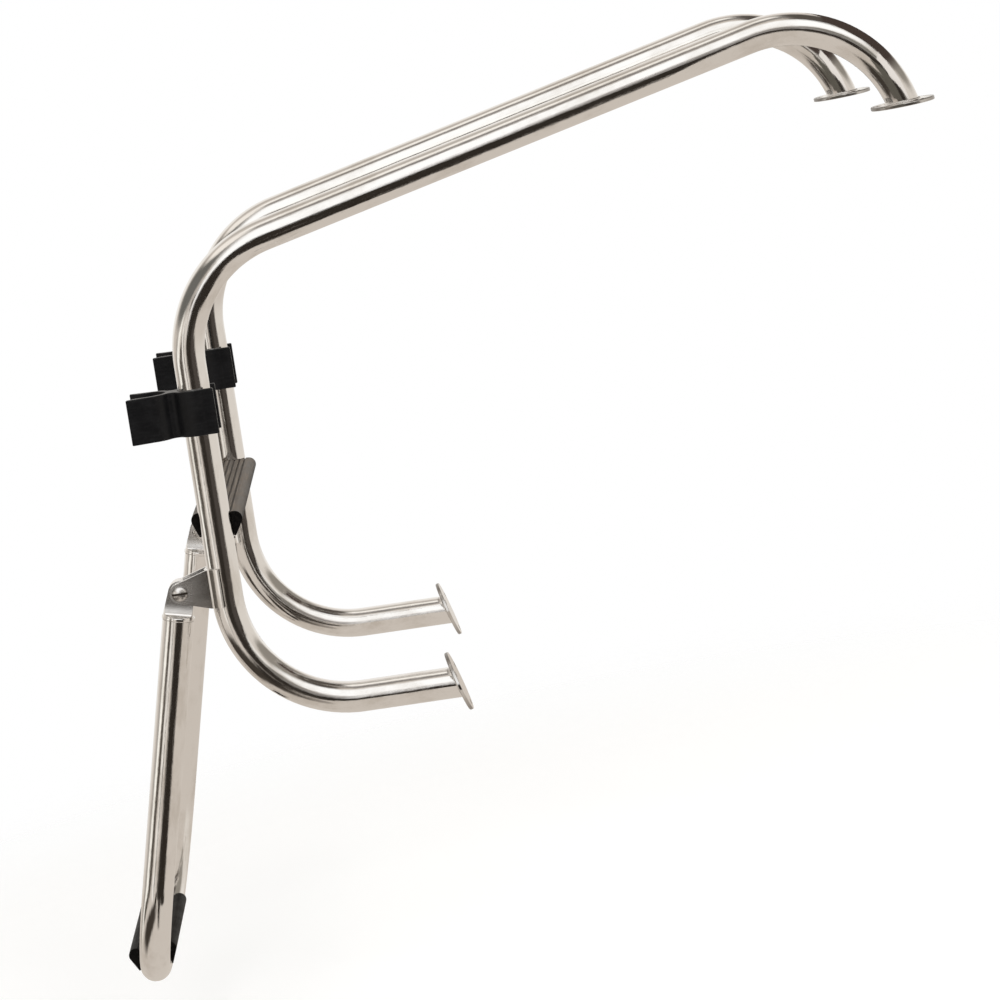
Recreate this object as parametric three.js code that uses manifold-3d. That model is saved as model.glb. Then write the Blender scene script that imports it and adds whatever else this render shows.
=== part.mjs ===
// A boarding ladder that clamps round a boat's deck edge and transom: two bent stainless rails with a
// fixed upper step, and a lower section on two hinges that swings out and up into a pair of clips.
import * as THREE from "three";
import { mergeVertices } from "three/addons/utils/BufferGeometryUtils.js";
import Module from "manifold-3d";

const wasm = await Module();
wasm.setup();

// Driving dimensions, in millimetres and degrees. X points towards the boat, Y to its port side and Z up.
// The origin lies on the deck, midway between the two deck pads.
const tubeDiameter = 25.4;
const tubeWall = 1.5;
const bendRadius = 95; // of a tube's centre line, in every bend
const railSpacing = 280; // between the rails' centre lines
const seam = 0.3; // left open where one piece is welded to, clipped on or cut round another

// Each rail: up from the deck pad, outboard along the diagonal, down the riser and back to the transom.
const deckEntryLean = 13.9; // the tube's lean where it stands on the deck pad
const deckStub = 2; // straight tube between the deck pad and the first bend
const diagonalSlope = 9.8;
const diagonalLength = 568.5; // from corner to corner, before rounding
const riserLean = 4;
const riserLength = 358.2; // from corner to corner
const armSlope = 4.1;
const armLength = 170.5; // from the riser's corner to the transom pad

// The round pads that are screwed to the deck and the transom.
const padDiameter = 50;
const padThickness = 3;
const padChamfer = 0.6;
const transomRake = 13; // the transom pads' faces tilt up by this much
const padScrewCircle = 39;
const padScrewCount = 3;
const padHoleDiameter = 5;
const padSinkDiameter = 8.4;

// The steps: a flat ribbed top on rounded shoulders, with flanks that close on the tube's two sides.
const treadWidth = 40.5;
const treadRise = 20.5; // from the tube's centre line to the walking surface
const treadShoulder = 6; // rounding between the walking surface and the flanks
const treadLip = 1.5; // thickness of the flanks' lower edges beside the tube
const treadLipHeight = 1; // of those edges above the tube's centre line
const grooveCount = 6;
const groovePitch = 4.4;
const grooveWidth = 1.5;
const grooveDepth = 0.7;
const rungDrop = 214.2; // from the knee's corner down the riser to the rung
const upperTreadLean = 9; // by which the upper step falls towards the boat
const upperTreadSetback = 1.5; // from the rails' centre lines to the step's ends
const lowerTreadLean = 0;
const lowerTreadLength = 132;

// The lower section, hung on two pins beside the risers.
const pinDrop = 252.5; // from the knee's corner down the riser to the pins
const pinOffset = 36; // from the rail's centre line outboard to the pin
const legLean = 17.3; // when it hangs down, ready for use
const legLength = 339; // from the pin to the bottom tube's centre line

// The hinge brackets: a saddle welded round the rail, with two ears and a stop between them.
const earThickness = 2.5;
const earSpacing = 16; // between the ears' inner faces
const earRadius = 8;
const earFillet = 4;
const saddleThickness = 2;
const saddleWrap = 80; // to each side of straight outboard
const saddleHeight = 31;
const stopTop = 4.5; // below the pin
const stopBottom = 10.5;
const stopGap = 0.3;

// The pins, nuts and washers.
const pinDiameter = 8;
const pinClearance = 0.08;
const pinHeadDiameter = 13;
const pinHeadHeight = 3;
const pinSlotWidth = 1.8;
const pinSlotDepth = 1.4;
const pinThreadEnd = 1; // that stands out of the nut
const nutAcrossFlats = 13;
const nutHexHeight = 5;
const nutCollarHeight = 2;
const nutCollarDiameter = 11.6;
const washerDiameter = 16;
const washerThickness = 1;
const sideClearance = 0.1; // between a washer and the leg's eye

// The caps on the legs' upper ends: an eye, a lip and a plug inside the tube.
const eyeRadius = 9.5;
const heelReach = 11.2; // from the leg's centre line to the face that meets the stop
const heelDrop = 2; // from the pin down to that face's upper end
const capShoulder = 12.4; // half the width of the eye's foot
const lipDrop = 19.5; // from the pin down to the lip
const lipHeight = 3;
const lipOverhang = 0.5;
const lipRounding = 1;
const plugLength = 20;
const plugClearance = 0.2;

// The clips that hold the folded legs beside the rails.
const clipDrop = 111.5; // from the knee's corner down the riser to the clip's middle
const clipHeight = 36;
const clipWall = 4.6;
const clipWaist = 8.5; // half the clip's width between its two seats
const clipGrip = 115; // how far the wall follows the rail from straight outboard
const clipLipReach = 15.5; // from the rail's centre line to the inboard lips
const clipLipGap = 12.8; // half the gap between the inboard lips
const clipLipWall = 3.6;
const clipMouthReach = 16.5; // from the leg's seat to the mouth's tips
const clipMouthStraight = 9; // of that, the part with parallel walls
const clipMouthFlare = 4.2; // by which the mouth widens on each side
const clipMouthWall = 3.6;

// Sizes that follow from the ones above.
const tubeRadius = tubeDiameter / 2;
const tubeBore = tubeRadius - tubeWall;
const clearRadius = tubeRadius + seam; // of whatever is cut to fit a tube
const railPlace = railSpacing / 2;
const legTilt = legLean - riserLean; // between the legs and the risers
const earOuter = earSpacing / 2 + earThickness;
const eyeHalf = earSpacing / 2 - washerThickness - sideClearance;
const pinRadius = pinDiameter / 2;
const pinBore = pinRadius + pinClearance;
const saddleRadius = clearRadius + saddleThickness;
const sides = [
  { name: "starboard", sign: -1 },
  { name: "port", sign: 1 },
];

// How finely round shapes are cut.
const tubeFacets = 24;
const boreFacets = 12;
const bendSteps = 10;
const cutterFacets = 36;
const pinFacets = 24;
const arcSteps = 6;

const rad = THREE.MathUtils.degToRad;

const stainless = new THREE.MeshStandardMaterial({ color: 0xbdb8ae, roughness: 0.18, metalness: 1 });
const blackRubber = new THREE.MeshStandardMaterial({ color: 0x191a1b, roughness: 0.5, metalness: 0 });
const blackPlastic = new THREE.MeshStandardMaterial({ color: 0x232325, roughness: 0.55, metalness: 0 });
const nylon = new THREE.MeshStandardMaterial({ color: 0xd9d6cc, roughness: 0.5, metalness: 0 });

// ---- Joining and cutting ----

function solidOf(geometry) {
  const bare = new THREE.BufferGeometry();
  bare.setAttribute("position", geometry.getAttribute("position"));
  if (geometry.index) bare.setIndex(geometry.index);
  const merged = mergeVertices(bare, 1e-4);
  const mesh = new wasm.Mesh({
    numProp: 3,
    vertProperties: merged.attributes.position.array,
    triVerts: new Uint32Array(merged.index.array),
  });
  return new wasm.Manifold(mesh);
}

function geometryOf(solid) {
  const mesh = solid.getMesh();
  const geometry = new THREE.BufferGeometry();
  geometry.setAttribute("position", new THREE.BufferAttribute(mesh.vertProperties, 3));
  geometry.setIndex(new THREE.BufferAttribute(mesh.triVerts, 1));
  geometry.computeVertexNormals();
  return geometry;
}

function joined(...geometries) {
  return geometries.map(solidOf).reduce((whole, next) => whole.add(next));
}

function pieceOf(name, geometry, material) {
  const mesh = new THREE.Mesh(geometry, material);
  mesh.name = name;
  return mesh;
}

// ---- Plain shapes ----

// A cylinder along Z, Y or X about the origin.
function rod(radius, length, axis, facets) {
  const geometry = new THREE.CylinderGeometry(radius, radius, length, facets);
  if (axis === "z") geometry.rotateX(Math.PI / 2);
  if (axis === "x") geometry.rotateZ(Math.PI / 2);
  return geometry;
}

function box(from, to) {
  const size = to.clone().sub(from);
  const centre = from.clone().add(to).multiplyScalar(0.5);
  return new THREE.BoxGeometry(size.x, size.y, size.z).translate(centre.x, centre.y, centre.z);
}

// A flat outline drawn in X and Z, and as thick as given about Y = 0.
function plateAlongY(outline, thickness) {
  const geometry = new THREE.ExtrudeGeometry(outline, {
    depth: thickness,
    bevelEnabled: false,
    curveSegments: arcSteps,
  });
  return geometry.translate(0, 0, -thickness / 2).rotateX(Math.PI / 2);
}

// A flat outline drawn in X and Y, and as tall as given about Z = 0.
function plateAlongZ(outline, height) {
  const geometry = new THREE.ExtrudeGeometry(outline, {
    depth: height,
    bevelEnabled: false,
    curveSegments: arcSteps,
  });
  return geometry.translate(0, 0, -height / 2);
}

// The direction, seen from a circle's centre, of the point where a line from outside touches the circle.
function touchAngle(point, radius, turn) {
  const away = Math.acos(radius / point.length());
  return Math.atan2(point.y, point.x) + turn * away;
}

// ---- Bent tubes ----

// A flat line of straight runs and round bends, with one station for each ring of the tube.
class BentLine extends THREE.Curve {
  constructor(stations) {
    super();
    this.stations = stations;
    this.steps = stations.length - 1;
  }

  getPoint(t, target = new THREE.Vector3()) {
    return target.copy(this.stations[Math.round(t * this.steps)].at);
  }

  getPointAt(u, target) {
    return this.getPoint(u, target);
  }

  getTangent(t, target = new THREE.Vector3()) {
    return target.copy(this.stations[Math.round(t * this.steps)].along);
  }

  getTangentAt(u, target) {
    return this.getTangent(u, target);
  }
}

// The line through the corners, each rounded to the bend radius; place turns a flat point into a 3-D one.
function bentLine(corners, place) {
  const stations = [];
  const add = (at, along) => stations.push({ at: place(at), along: place(along).sub(place(new THREE.Vector2())) });
  const last = corners.length - 1;
  const direction = (i) => corners[i + 1].clone().sub(corners[i]).normalize();
  add(corners[0], direction(0));
  for (let i = 1; i < last; i += 1) {
    const before = direction(i - 1);
    const side = Math.sign(before.cross(direction(i)));
    const turn = Math.acos(before.dot(direction(i)));
    const start = corners[i].clone().addScaledVector(before, -bendRadius * Math.tan(turn / 2));
    const toCentre = new THREE.Vector2(-before.y, before.x).multiplyScalar(side * bendRadius);
    const centre = start.clone().add(toCentre);
    for (let k = 0; k <= bendSteps; k += 1) {
      const angle = (side * turn * k) / bendSteps;
      const at = start.clone().rotateAround(centre, angle);
      add(at, before.clone().rotateAround(new THREE.Vector2(), angle));
    }
  }
  add(corners[last], direction(last - 1));
  return new BentLine(stations);
}

function circlePoints(radius, count) {
  const points = [];
  for (let i = 0; i < count; i += 1) {
    const angle = (2 * Math.PI * i) / count;
    points.push(new THREE.Vector2(radius * Math.cos(angle), radius * Math.sin(angle)));
  }
  return points;
}

function tubeAlong(line, outer, inner) {
  const section = new THREE.Shape(circlePoints(outer, tubeFacets));
  if (inner > 0) section.holes.push(new THREE.Path(circlePoints(inner, boreFacets)));
  return new THREE.ExtrudeGeometry(section, { steps: line.steps, extrudePath: line });
}

// ---- The rails ----

const onSide = (flat) => new THREE.Vector3(flat.x, 0, flat.y);
const across = (flat) => new THREE.Vector3(0, flat.x, flat.y);
// A flat direction, with 0 towards the boat and 90 straight up.
const heading = (degrees) => new THREE.Vector2(Math.cos(rad(degrees)), Math.sin(rad(degrees)));

const deckSeat = new THREE.Vector2(0, padThickness + seam);
const deckHeading = heading(90 + deckEntryLean);
const diagonalHeading = heading(180 + diagonalSlope);
const riserHeading = heading(270 - riserLean);
const armHeading = heading(-armSlope);
const topTurn = rad(90 + diagonalSlope - deckEntryLean);
const topCorner = deckSeat.clone().addScaledVector(deckHeading, deckStub + bendRadius * Math.tan(topTurn / 2));
const kneeCorner = topCorner.clone().addScaledVector(diagonalHeading, diagonalLength);
const footCorner = kneeCorner.clone().addScaledVector(riserHeading, riserLength);
const transomSeat = footCorner.clone().addScaledVector(armHeading, armLength);

function railGeometry() {
  const spare = tubeRadius; // run past each pad, then cut off on the pad's plane
  const bottom = deckSeat.clone().addScaledVector(deckHeading, -spare);
  const end = transomSeat.clone().addScaledVector(armHeading, spare);
  const line = bentLine([bottom, topCorner, kneeCorner, footCorner, end], onSide);
  const underDeckPad = rod(padDiameter, 2 * spare, "z", cutterFacets);
  underDeckPad.translate(deckSeat.x, 0, deckSeat.y - spare);
  const pastTransomPad = rod(padDiameter, 2 * spare, "x", cutterFacets).translate(spare, 0, 0);
  pastTransomPad.rotateY(-rad(transomRake)).translate(transomSeat.x, 0, transomSeat.y);
  const tube = solidOf(tubeAlong(line, tubeRadius, tubeBore));
  return geometryOf(tube.subtract(solidOf(underDeckPad)).subtract(solidOf(pastTransomPad)));
}

// A round pad with its mounting face at Z = 0 and its tube standing on top, drilled for sunk screws.
function padGeometry() {
  const radius = padDiameter / 2;
  const disc = new THREE.LatheGeometry(
    [
      new THREE.Vector2(0, 0),
      new THREE.Vector2(radius, 0),
      new THREE.Vector2(radius, padThickness - padChamfer),
      new THREE.Vector2(radius - padChamfer, padThickness),
      new THREE.Vector2(0, padThickness),
    ],
    cutterFacets,
  ).rotateX(Math.PI / 2);
  let pad = solidOf(disc);
  const holeRadius = padHoleDiameter / 2;
  const sinkRadius = padSinkDiameter / 2;
  const sinkDepth = sinkRadius - holeRadius;
  for (let i = 0; i < padScrewCount; i += 1) {
    const angle = (2 * Math.PI * (i + 0.5)) / padScrewCount;
    const hole = new THREE.LatheGeometry(
      [
        new THREE.Vector2(0, -1),
        new THREE.Vector2(holeRadius, -1),
        new THREE.Vector2(holeRadius, padThickness - sinkDepth),
        new THREE.Vector2(sinkRadius, padThickness),
        new THREE.Vector2(sinkRadius, padThickness + 1),
        new THREE.Vector2(0, padThickness + 1),
      ],
      boreFacets,
    ).rotateX(Math.PI / 2);
    hole.translate((Math.cos(angle) * padScrewCircle) / 2, (Math.sin(angle) * padScrewCircle) / 2, 0);
    pad = pad.subtract(solidOf(hole));
  }
  return geometryOf(pad);
}

// ---- The steps ----

function treadOutline() {
  const shoulder = new THREE.Vector2(treadWidth / 2 - treadShoulder, treadRise - treadShoulder);
  const lip = new THREE.Vector2(clearRadius + treadLip, treadLipHeight);
  const touch = touchAngle(lip.clone().sub(shoulder), treadShoulder, 1);
  const outline = new THREE.Shape();
  outline.moveTo(lip.x, lip.y);
  outline.lineTo(-lip.x, lip.y);
  outline.absarc(-shoulder.x, shoulder.y, treadShoulder, Math.PI - touch, Math.PI / 2, true);
  for (let i = 0; i < grooveCount; i += 1) {
    const middle = (i - (grooveCount - 1) / 2) * groovePitch;
    outline.lineTo(middle - grooveWidth / 2, treadRise);
    outline.lineTo(middle - grooveWidth / 2, treadRise - grooveDepth);
    outline.lineTo(middle + grooveWidth / 2, treadRise - grooveDepth);
    outline.lineTo(middle + grooveWidth / 2, treadRise);
  }
  outline.absarc(shoulder.x, shoulder.y, treadShoulder, Math.PI / 2, touch, true);
  return outline;
}

// A step cut round its own tube and whatever else it meets, with the tube's centre line at the origin.
function treadGeometry(length, ...cutters) {
  let tread = solidOf(plateAlongY(treadOutline(), length));
  for (const cutter of cutters) tread = tread.subtract(solidOf(cutter));
  return geometryOf(tread);
}

function upperTreadGeometry() {
  const rung = rod(clearRadius, railSpacing, "y", cutterFacets);
  const rails = sides.map(({ sign }) => {
    const rail = rod(clearRadius, 4 * tubeDiameter, "z", cutterFacets);
    return rail.rotateY(rad(riserLean - upperTreadLean)).translate(0, sign * railPlace, 0);
  });
  return treadGeometry(railSpacing - 2 * upperTreadSetback, rung, ...rails);
}

function rungGeometry() {
  const section = new THREE.Shape(circlePoints(tubeRadius, tubeFacets));
  section.holes.push(new THREE.Path(circlePoints(tubeBore, boreFacets)));
  let rung = solidOf(plateAlongY(section, railSpacing));
  for (const { sign } of sides) {
    const rail = rod(clearRadius, 4 * tubeDiameter, "z", cutterFacets).translate(0, sign * railPlace, 0);
    const beyond = box(
      new THREE.Vector3(-tubeDiameter, sign * railPlace - tubeRadius / 4, -tubeDiameter),
      new THREE.Vector3(tubeDiameter, sign * railPlace + tubeRadius / 4, tubeDiameter),
    );
    rung = rung.subtract(solidOf(rail)).subtract(solidOf(beyond));
  }
  return geometryOf(rung);
}

// ---- The lower section ----

const legTop = -lipDrop - lipHeight - seam;

// The legs' centre line as corners in Y and Z, with the bottom tube raised by the given height.
function legCorners(top, bottom) {
  return [
    new THREE.Vector2(-railPlace, top),
    new THREE.Vector2(-railPlace, bottom),
    new THREE.Vector2(railPlace, bottom),
    new THREE.Vector2(railPlace, top),
  ];
}

function lowerTubeGeometry() {
  return tubeAlong(bentLine(legCorners(legTop, -legLength), across), tubeRadius, tubeBore);
}

function lowerTreadGeometry() {
  const cutter = tubeAlong(bentLine(legCorners(legLength + legTop, 0), across), clearRadius, 0);
  return treadGeometry(lowerTreadLength, cutter.rotateY(rad(legLean - lowerTreadLean)));
}

// The cap's eye about the pin at the origin, seen from starboard with the boat to the right.
function eyeOutline() {
  const foot = lipDrop + lipHeight / 2;
  const shoulder = new THREE.Vector2(-capShoulder, -lipDrop);
  const heel = new THREE.Vector2(heelReach, -heelDrop);
  const outline = new THREE.Shape();
  outline.moveTo(-capShoulder, -foot);
  outline.lineTo(shoulder.x, shoulder.y);
  const from = touchAngle(shoulder, eyeRadius, -1) + 2 * Math.PI;
  outline.absarc(0, 0, eyeRadius, from, touchAngle(heel, eyeRadius, 1), true);
  outline.lineTo(heel.x, heel.y);
  outline.lineTo(heelReach, -foot);
  return outline;
}

function capGeometry() {
  const lipRadius = tubeRadius + lipOverhang;
  const plugRadius = tubeBore * Math.cos(Math.PI / boreFacets) - plugClearance; // clears the bore's flats
  const lipBottom = -lipDrop - lipHeight;
  const plugBottom = lipBottom - plugLength;
  const turned = new THREE.LatheGeometry(
    [
      new THREE.Vector2(0, plugBottom),
      new THREE.Vector2(plugRadius, plugBottom),
      new THREE.Vector2(plugRadius, lipBottom),
      new THREE.Vector2(lipRadius, lipBottom),
      new THREE.Vector2(lipRadius, -lipDrop - lipRounding),
      new THREE.Vector2(lipRadius - lipRounding, -lipDrop),
      new THREE.Vector2(0, -lipDrop),
    ],
    tubeFacets,
  ).rotateX(Math.PI / 2);
  const cap = joined(plateAlongY(eyeOutline(), 2 * eyeHalf), turned);
  return geometryOf(cap.subtract(solidOf(rod(pinBore, tubeDiameter * 2, "y", pinFacets))));
}

// ---- The hinge brackets ----

// The bracket seen from above, with the pin at the origin and the rail's centre at X = pinOffset.
function bracketPlan() {
  const inner = earSpacing / 2;
  const filletY = earOuter + earFillet;
  const filletX = pinOffset - Math.sqrt((saddleRadius + earFillet) ** 2 - filletY ** 2);
  const filletAngle = Math.atan2(filletY, pinOffset - filletX);
  const wrap = rad(saddleWrap);
  const insideAngle = Math.asin(inner / saddleRadius);
  const plan = new THREE.Shape();
  plan.moveTo(-earRadius, inner);
  plan.lineTo(-earRadius, earOuter);
  plan.absarc(filletX, filletY, earFillet, -Math.PI / 2, -filletAngle, false);
  plan.absarc(pinOffset, 0, saddleRadius, Math.PI - filletAngle, Math.PI - wrap, true);
  plan.absarc(pinOffset, 0, clearRadius, Math.PI - wrap, Math.PI + wrap, false);
  plan.absarc(pinOffset, 0, saddleRadius, Math.PI + wrap, Math.PI + filletAngle, true);
  plan.absarc(filletX, -filletY, earFillet, filletAngle, Math.PI / 2, false);
  plan.lineTo(-earRadius, -earOuter);
  plan.lineTo(-earRadius, -inner);
  plan.absarc(pinOffset, 0, saddleRadius, Math.PI + insideAngle, Math.PI - insideAngle, true);
  return plan;
}

// The bracket seen from the side: round about the pin and as tall as the saddle at the rail.
function bracketSide() {
  const half = saddleHeight / 2;
  const shoulder = new THREE.Vector2(pinOffset - tubeRadius, half);
  const touch = touchAngle(shoulder, earRadius, 1);
  const side = new THREE.Shape();
  side.moveTo(pinOffset + saddleRadius, half);
  side.lineTo(shoulder.x, half);
  side.absarc(0, 0, earRadius, touch, 2 * Math.PI - touch, false);
  side.lineTo(shoulder.x, -half);
  side.lineTo(pinOffset + saddleRadius, -half);
  return side;
}

// The stop between the ears, which the cap's heel meets when the legs hang down.
function stopOutline() {
  const faceAt = (z) => (heelReach + stopGap + z * Math.sin(rad(legTilt))) / Math.cos(rad(legTilt));
  const back = pinOffset - saddleRadius + saddleThickness / 2;
  const outline = new THREE.Shape();
  outline.moveTo(faceAt(-stopTop), -stopTop);
  outline.lineTo(back, -stopTop);
  outline.lineTo(back, -stopBottom);
  outline.lineTo(faceAt(-stopBottom), -stopBottom);
  return outline;
}

function bracketGeometry() {
  const plan = solidOf(plateAlongZ(bracketPlan(), saddleHeight));
  const side = solidOf(plateAlongY(bracketSide(), 4 * tubeDiameter));
  const stop = solidOf(plateAlongY(stopOutline(), earSpacing + earThickness));
  const body = plan.intersect(side).add(stop);
  return geometryOf(body.subtract(solidOf(rod(pinBore, 4 * tubeDiameter, "y", pinFacets))));
}

// ---- The pins, nuts and washers, all along Y with the head towards -Y ----

function pinGeometry() {
  const headRadius = pinHeadDiameter / 2;
  const rim = pinHeadHeight / 3;
  const end = earOuter + nutHexHeight + nutCollarHeight + pinThreadEnd;
  const dome = [];
  for (let i = 0; i < arcSteps; i += 1) {
    const angle = (Math.PI / 2) * (i / arcSteps);
    const height = rim + (pinHeadHeight - rim) * Math.cos(angle);
    dome.push(new THREE.Vector2(headRadius * Math.sin(angle), -earOuter - height));
  }
  const profile = [
    ...dome,
    new THREE.Vector2(headRadius, -earOuter - rim),
    new THREE.Vector2(headRadius, -earOuter),
    new THREE.Vector2(pinRadius, -earOuter),
    new THREE.Vector2(pinRadius, end),
    new THREE.Vector2(0, end),
  ];
  const turned = solidOf(new THREE.LatheGeometry(profile, pinFacets));
  const top = -earOuter - pinHeadHeight;
  const slot = box(
    new THREE.Vector3(-pinHeadDiameter, top - 1, -pinSlotWidth / 2),
    new THREE.Vector3(pinHeadDiameter, top + pinSlotDepth, pinSlotWidth / 2),
  );
  return geometryOf(turned.subtract(solidOf(slot)));
}

function nutGeometry() {
  const corner = nutAcrossFlats / Math.sqrt(3);
  const hex = rod(corner, nutHexHeight, "y", 6).translate(0, earOuter + nutHexHeight / 2, 0);
  const collarHeight = nutHexHeight + nutCollarHeight;
  const collar = rod(nutCollarDiameter / 2, collarHeight, "y", pinFacets);
  collar.translate(0, earOuter + collarHeight / 2, 0);
  const nut = joined(hex, collar);
  return geometryOf(nut.subtract(solidOf(rod(pinBore, 8 * tubeDiameter, "y", pinFacets))));
}

function washerGeometry() {
  const outer = rod(washerDiameter / 2, washerThickness, "y", pinFacets);
  const bore = rod(pinBore, washerThickness * 3, "y", pinFacets);
  return geometryOf(solidOf(outer).subtract(solidOf(bore)));
}

// ---- The clips ----

// The clip seen from above, with the rail's centre at the origin and the leg's seat at -X.
function clipOutline() {
  const seat = clearRadius;
  const outer = seat + clipWall;
  const half = pinOffset / 2;
  const waistFillet = (half ** 2 + clipWaist ** 2 - outer ** 2) / (2 * (outer - clipWaist));
  const waistCentre = clipWaist + waistFillet;
  const waistAngle = Math.atan2(waistCentre, half);
  const grip = rad(clipGrip);
  const mouth = pinOffset + clipMouthReach;
  const straight = pinOffset + clipMouthStraight;
  const tipInner = seat + clipMouthFlare;
  const tipOuter = tipInner + clipMouthWall;
  const lipOuter = clipLipGap + clipLipWall;
  const right = Math.PI - grip; // where the wall leaves the rail
  const outline = new THREE.Shape();
  outline.moveTo(clipLipReach, clipLipGap);
  outline.lineTo(clipLipReach, lipOuter);
  outline.absarc(0, 0, outer, right, Math.PI - waistAngle, false);
  outline.absarc(-half, waistCentre, waistFillet, -waistAngle, waistAngle - Math.PI, true);
  outline.absarc(-pinOffset, 0, outer, waistAngle, Math.PI / 2, false);
  outline.lineTo(-mouth, tipOuter);
  outline.lineTo(-mouth, tipInner);
  outline.lineTo(-straight, seat);
  outline.absarc(-pinOffset, 0, seat, Math.PI / 2, -Math.PI / 2, true);
  outline.lineTo(-straight, -seat);
  outline.lineTo(-mouth, -tipInner);
  outline.lineTo(-mouth, -tipOuter);
  outline.absarc(-pinOffset, 0, outer, -Math.PI / 2, -waistAngle, false);
  outline.absarc(-half, -waistCentre, waistFillet, Math.PI - waistAngle, waistAngle, true);
  outline.absarc(0, 0, outer, waistAngle - Math.PI, -right, false);
  outline.lineTo(clipLipReach, -lipOuter);
  outline.lineTo(clipLipReach, -clipLipGap);
  outline.absarc(0, 0, seat, -right, right - 2 * Math.PI, true);
  return outline;
}

// ---- Assembly ----

const ladder = new THREE.Group();

// The riser's own frame: its origin at the knee's corner, X inboard and Z up along the riser.
const riser = new THREE.Group();
riser.position.copy(onSide(kneeCorner));
riser.rotation.y = rad(riserLean);
ladder.add(riser);

// The legs' frame: its origin on the hinge line, Z up along the legs.
const legs = new THREE.Group();
const hinge = onSide(kneeCorner).addScaledVector(onSide(riserHeading), pinDrop);
const inboard = new THREE.Vector3(Math.cos(rad(riserLean)), 0, -Math.sin(rad(riserLean)));
hinge.addScaledVector(inboard, -pinOffset);
legs.position.copy(hinge);
legs.rotation.y = rad(legLean);
ladder.add(legs);

for (const { name, sign } of sides) {
  const place = sign * railPlace;

  const rail = pieceOf(`rail_${name}`, railGeometry(), stainless);
  rail.position.y = place;
  ladder.add(rail);

  const deckPad = pieceOf(`deck_pad_${name}`, padGeometry(), stainless);
  deckPad.position.set(deckSeat.x, place, 0);
  ladder.add(deckPad);

  const transomPad = pieceOf(`transom_pad_${name}`, padGeometry(), stainless);
  const padDepth = padThickness + seam;
  const padPlace = transomSeat.clone().addScaledVector(heading(transomRake), padDepth);
  transomPad.position.set(padPlace.x, place, padPlace.y);
  transomPad.rotation.y = -rad(90 + transomRake);
  ladder.add(transomPad);

  const bracket = pieceOf(`hinge_bracket_${name}`, bracketGeometry(), stainless);
  bracket.position.set(-pinOffset, place, -pinDrop);
  riser.add(bracket);

  const pin = pieceOf(`hinge_pin_${name}`, pinGeometry(), stainless);
  const nut = pieceOf(`hinge_nut_${name}`, nutGeometry(), stainless);
  for (const piece of [pin, nut]) {
    piece.position.copy(bracket.position);
    if (sign > 0) piece.rotation.z = Math.PI;
    riser.add(piece);
  }

  for (const face of sides) {
    const where = face.sign === sign ? "outer" : "inner";
    const washer = pieceOf(`hinge_washer_${name}_${where}`, washerGeometry(), nylon);
    const offset = (earSpacing - washerThickness) / 2;
    washer.position.set(-pinOffset, place + face.sign * offset, -pinDrop);
    riser.add(washer);
  }

  const clip = pieceOf(`clip_${name}`, plateAlongZ(clipOutline(), clipHeight), blackRubber);
  clip.position.set(0, place, -clipDrop);
  riser.add(clip);

  const cap = pieceOf(`leg_cap_${name}`, capGeometry(), stainless);
  cap.position.y = place;
  legs.add(cap);
}

const rung = pieceOf("upper_rung", rungGeometry(), stainless);
rung.position.z = -rungDrop;
riser.add(rung);

const upperTread = pieceOf("upper_tread", upperTreadGeometry(), blackPlastic);
upperTread.position.z = -rungDrop;
upperTread.rotation.y = rad(upperTreadLean - riserLean);
riser.add(upperTread);

legs.add(pieceOf("lower_tube", lowerTubeGeometry(), stainless));

const lowerTread = pieceOf("lower_tread", lowerTreadGeometry(), blackPlastic);
lowerTread.position.z = -legLength;
lowerTread.rotation.y = rad(lowerTreadLean - legLean);
legs.add(lowerTread);

export default ladder;
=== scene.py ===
# %% [markdown]
# # A boat's boarding ladder in polished stainless steel
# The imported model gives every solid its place. This script keeps those places and dresses each solid:
# smooth bent tubes, pressed brackets, moulded treads and clips, each with a finish made from nodes.

import math

import bmesh
import bpy
from mathutils import Matrix, Vector


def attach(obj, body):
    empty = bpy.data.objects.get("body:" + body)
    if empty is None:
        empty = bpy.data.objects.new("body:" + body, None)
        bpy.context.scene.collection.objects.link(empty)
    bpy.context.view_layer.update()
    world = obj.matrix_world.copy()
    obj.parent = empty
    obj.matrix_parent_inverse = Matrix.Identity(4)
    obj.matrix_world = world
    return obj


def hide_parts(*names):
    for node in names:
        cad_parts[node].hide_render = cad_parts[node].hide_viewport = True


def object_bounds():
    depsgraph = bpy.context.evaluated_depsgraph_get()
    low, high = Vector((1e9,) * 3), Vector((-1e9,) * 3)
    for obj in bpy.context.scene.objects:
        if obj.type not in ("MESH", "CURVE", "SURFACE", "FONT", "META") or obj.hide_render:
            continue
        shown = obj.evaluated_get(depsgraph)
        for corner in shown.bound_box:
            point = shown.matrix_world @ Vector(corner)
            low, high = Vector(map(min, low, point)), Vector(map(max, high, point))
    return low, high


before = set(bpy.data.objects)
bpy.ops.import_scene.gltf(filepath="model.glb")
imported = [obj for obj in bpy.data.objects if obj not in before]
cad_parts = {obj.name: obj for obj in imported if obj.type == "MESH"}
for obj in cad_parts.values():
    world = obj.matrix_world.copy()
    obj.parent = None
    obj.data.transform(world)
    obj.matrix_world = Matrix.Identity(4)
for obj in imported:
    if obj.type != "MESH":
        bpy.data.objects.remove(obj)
cad_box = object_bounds()

# %% [markdown]
# ## Where everything is
# The ladder has three frames of its own, and each repeated size is written once. The row frame has its
# origin on the deck, X towards the boat, Y to port and Z up. The riser's frame leans 4 degrees and starts at
# the knee of the rails. The legs' frame starts on the hinge line and leans 17.3 degrees at rest.

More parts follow.
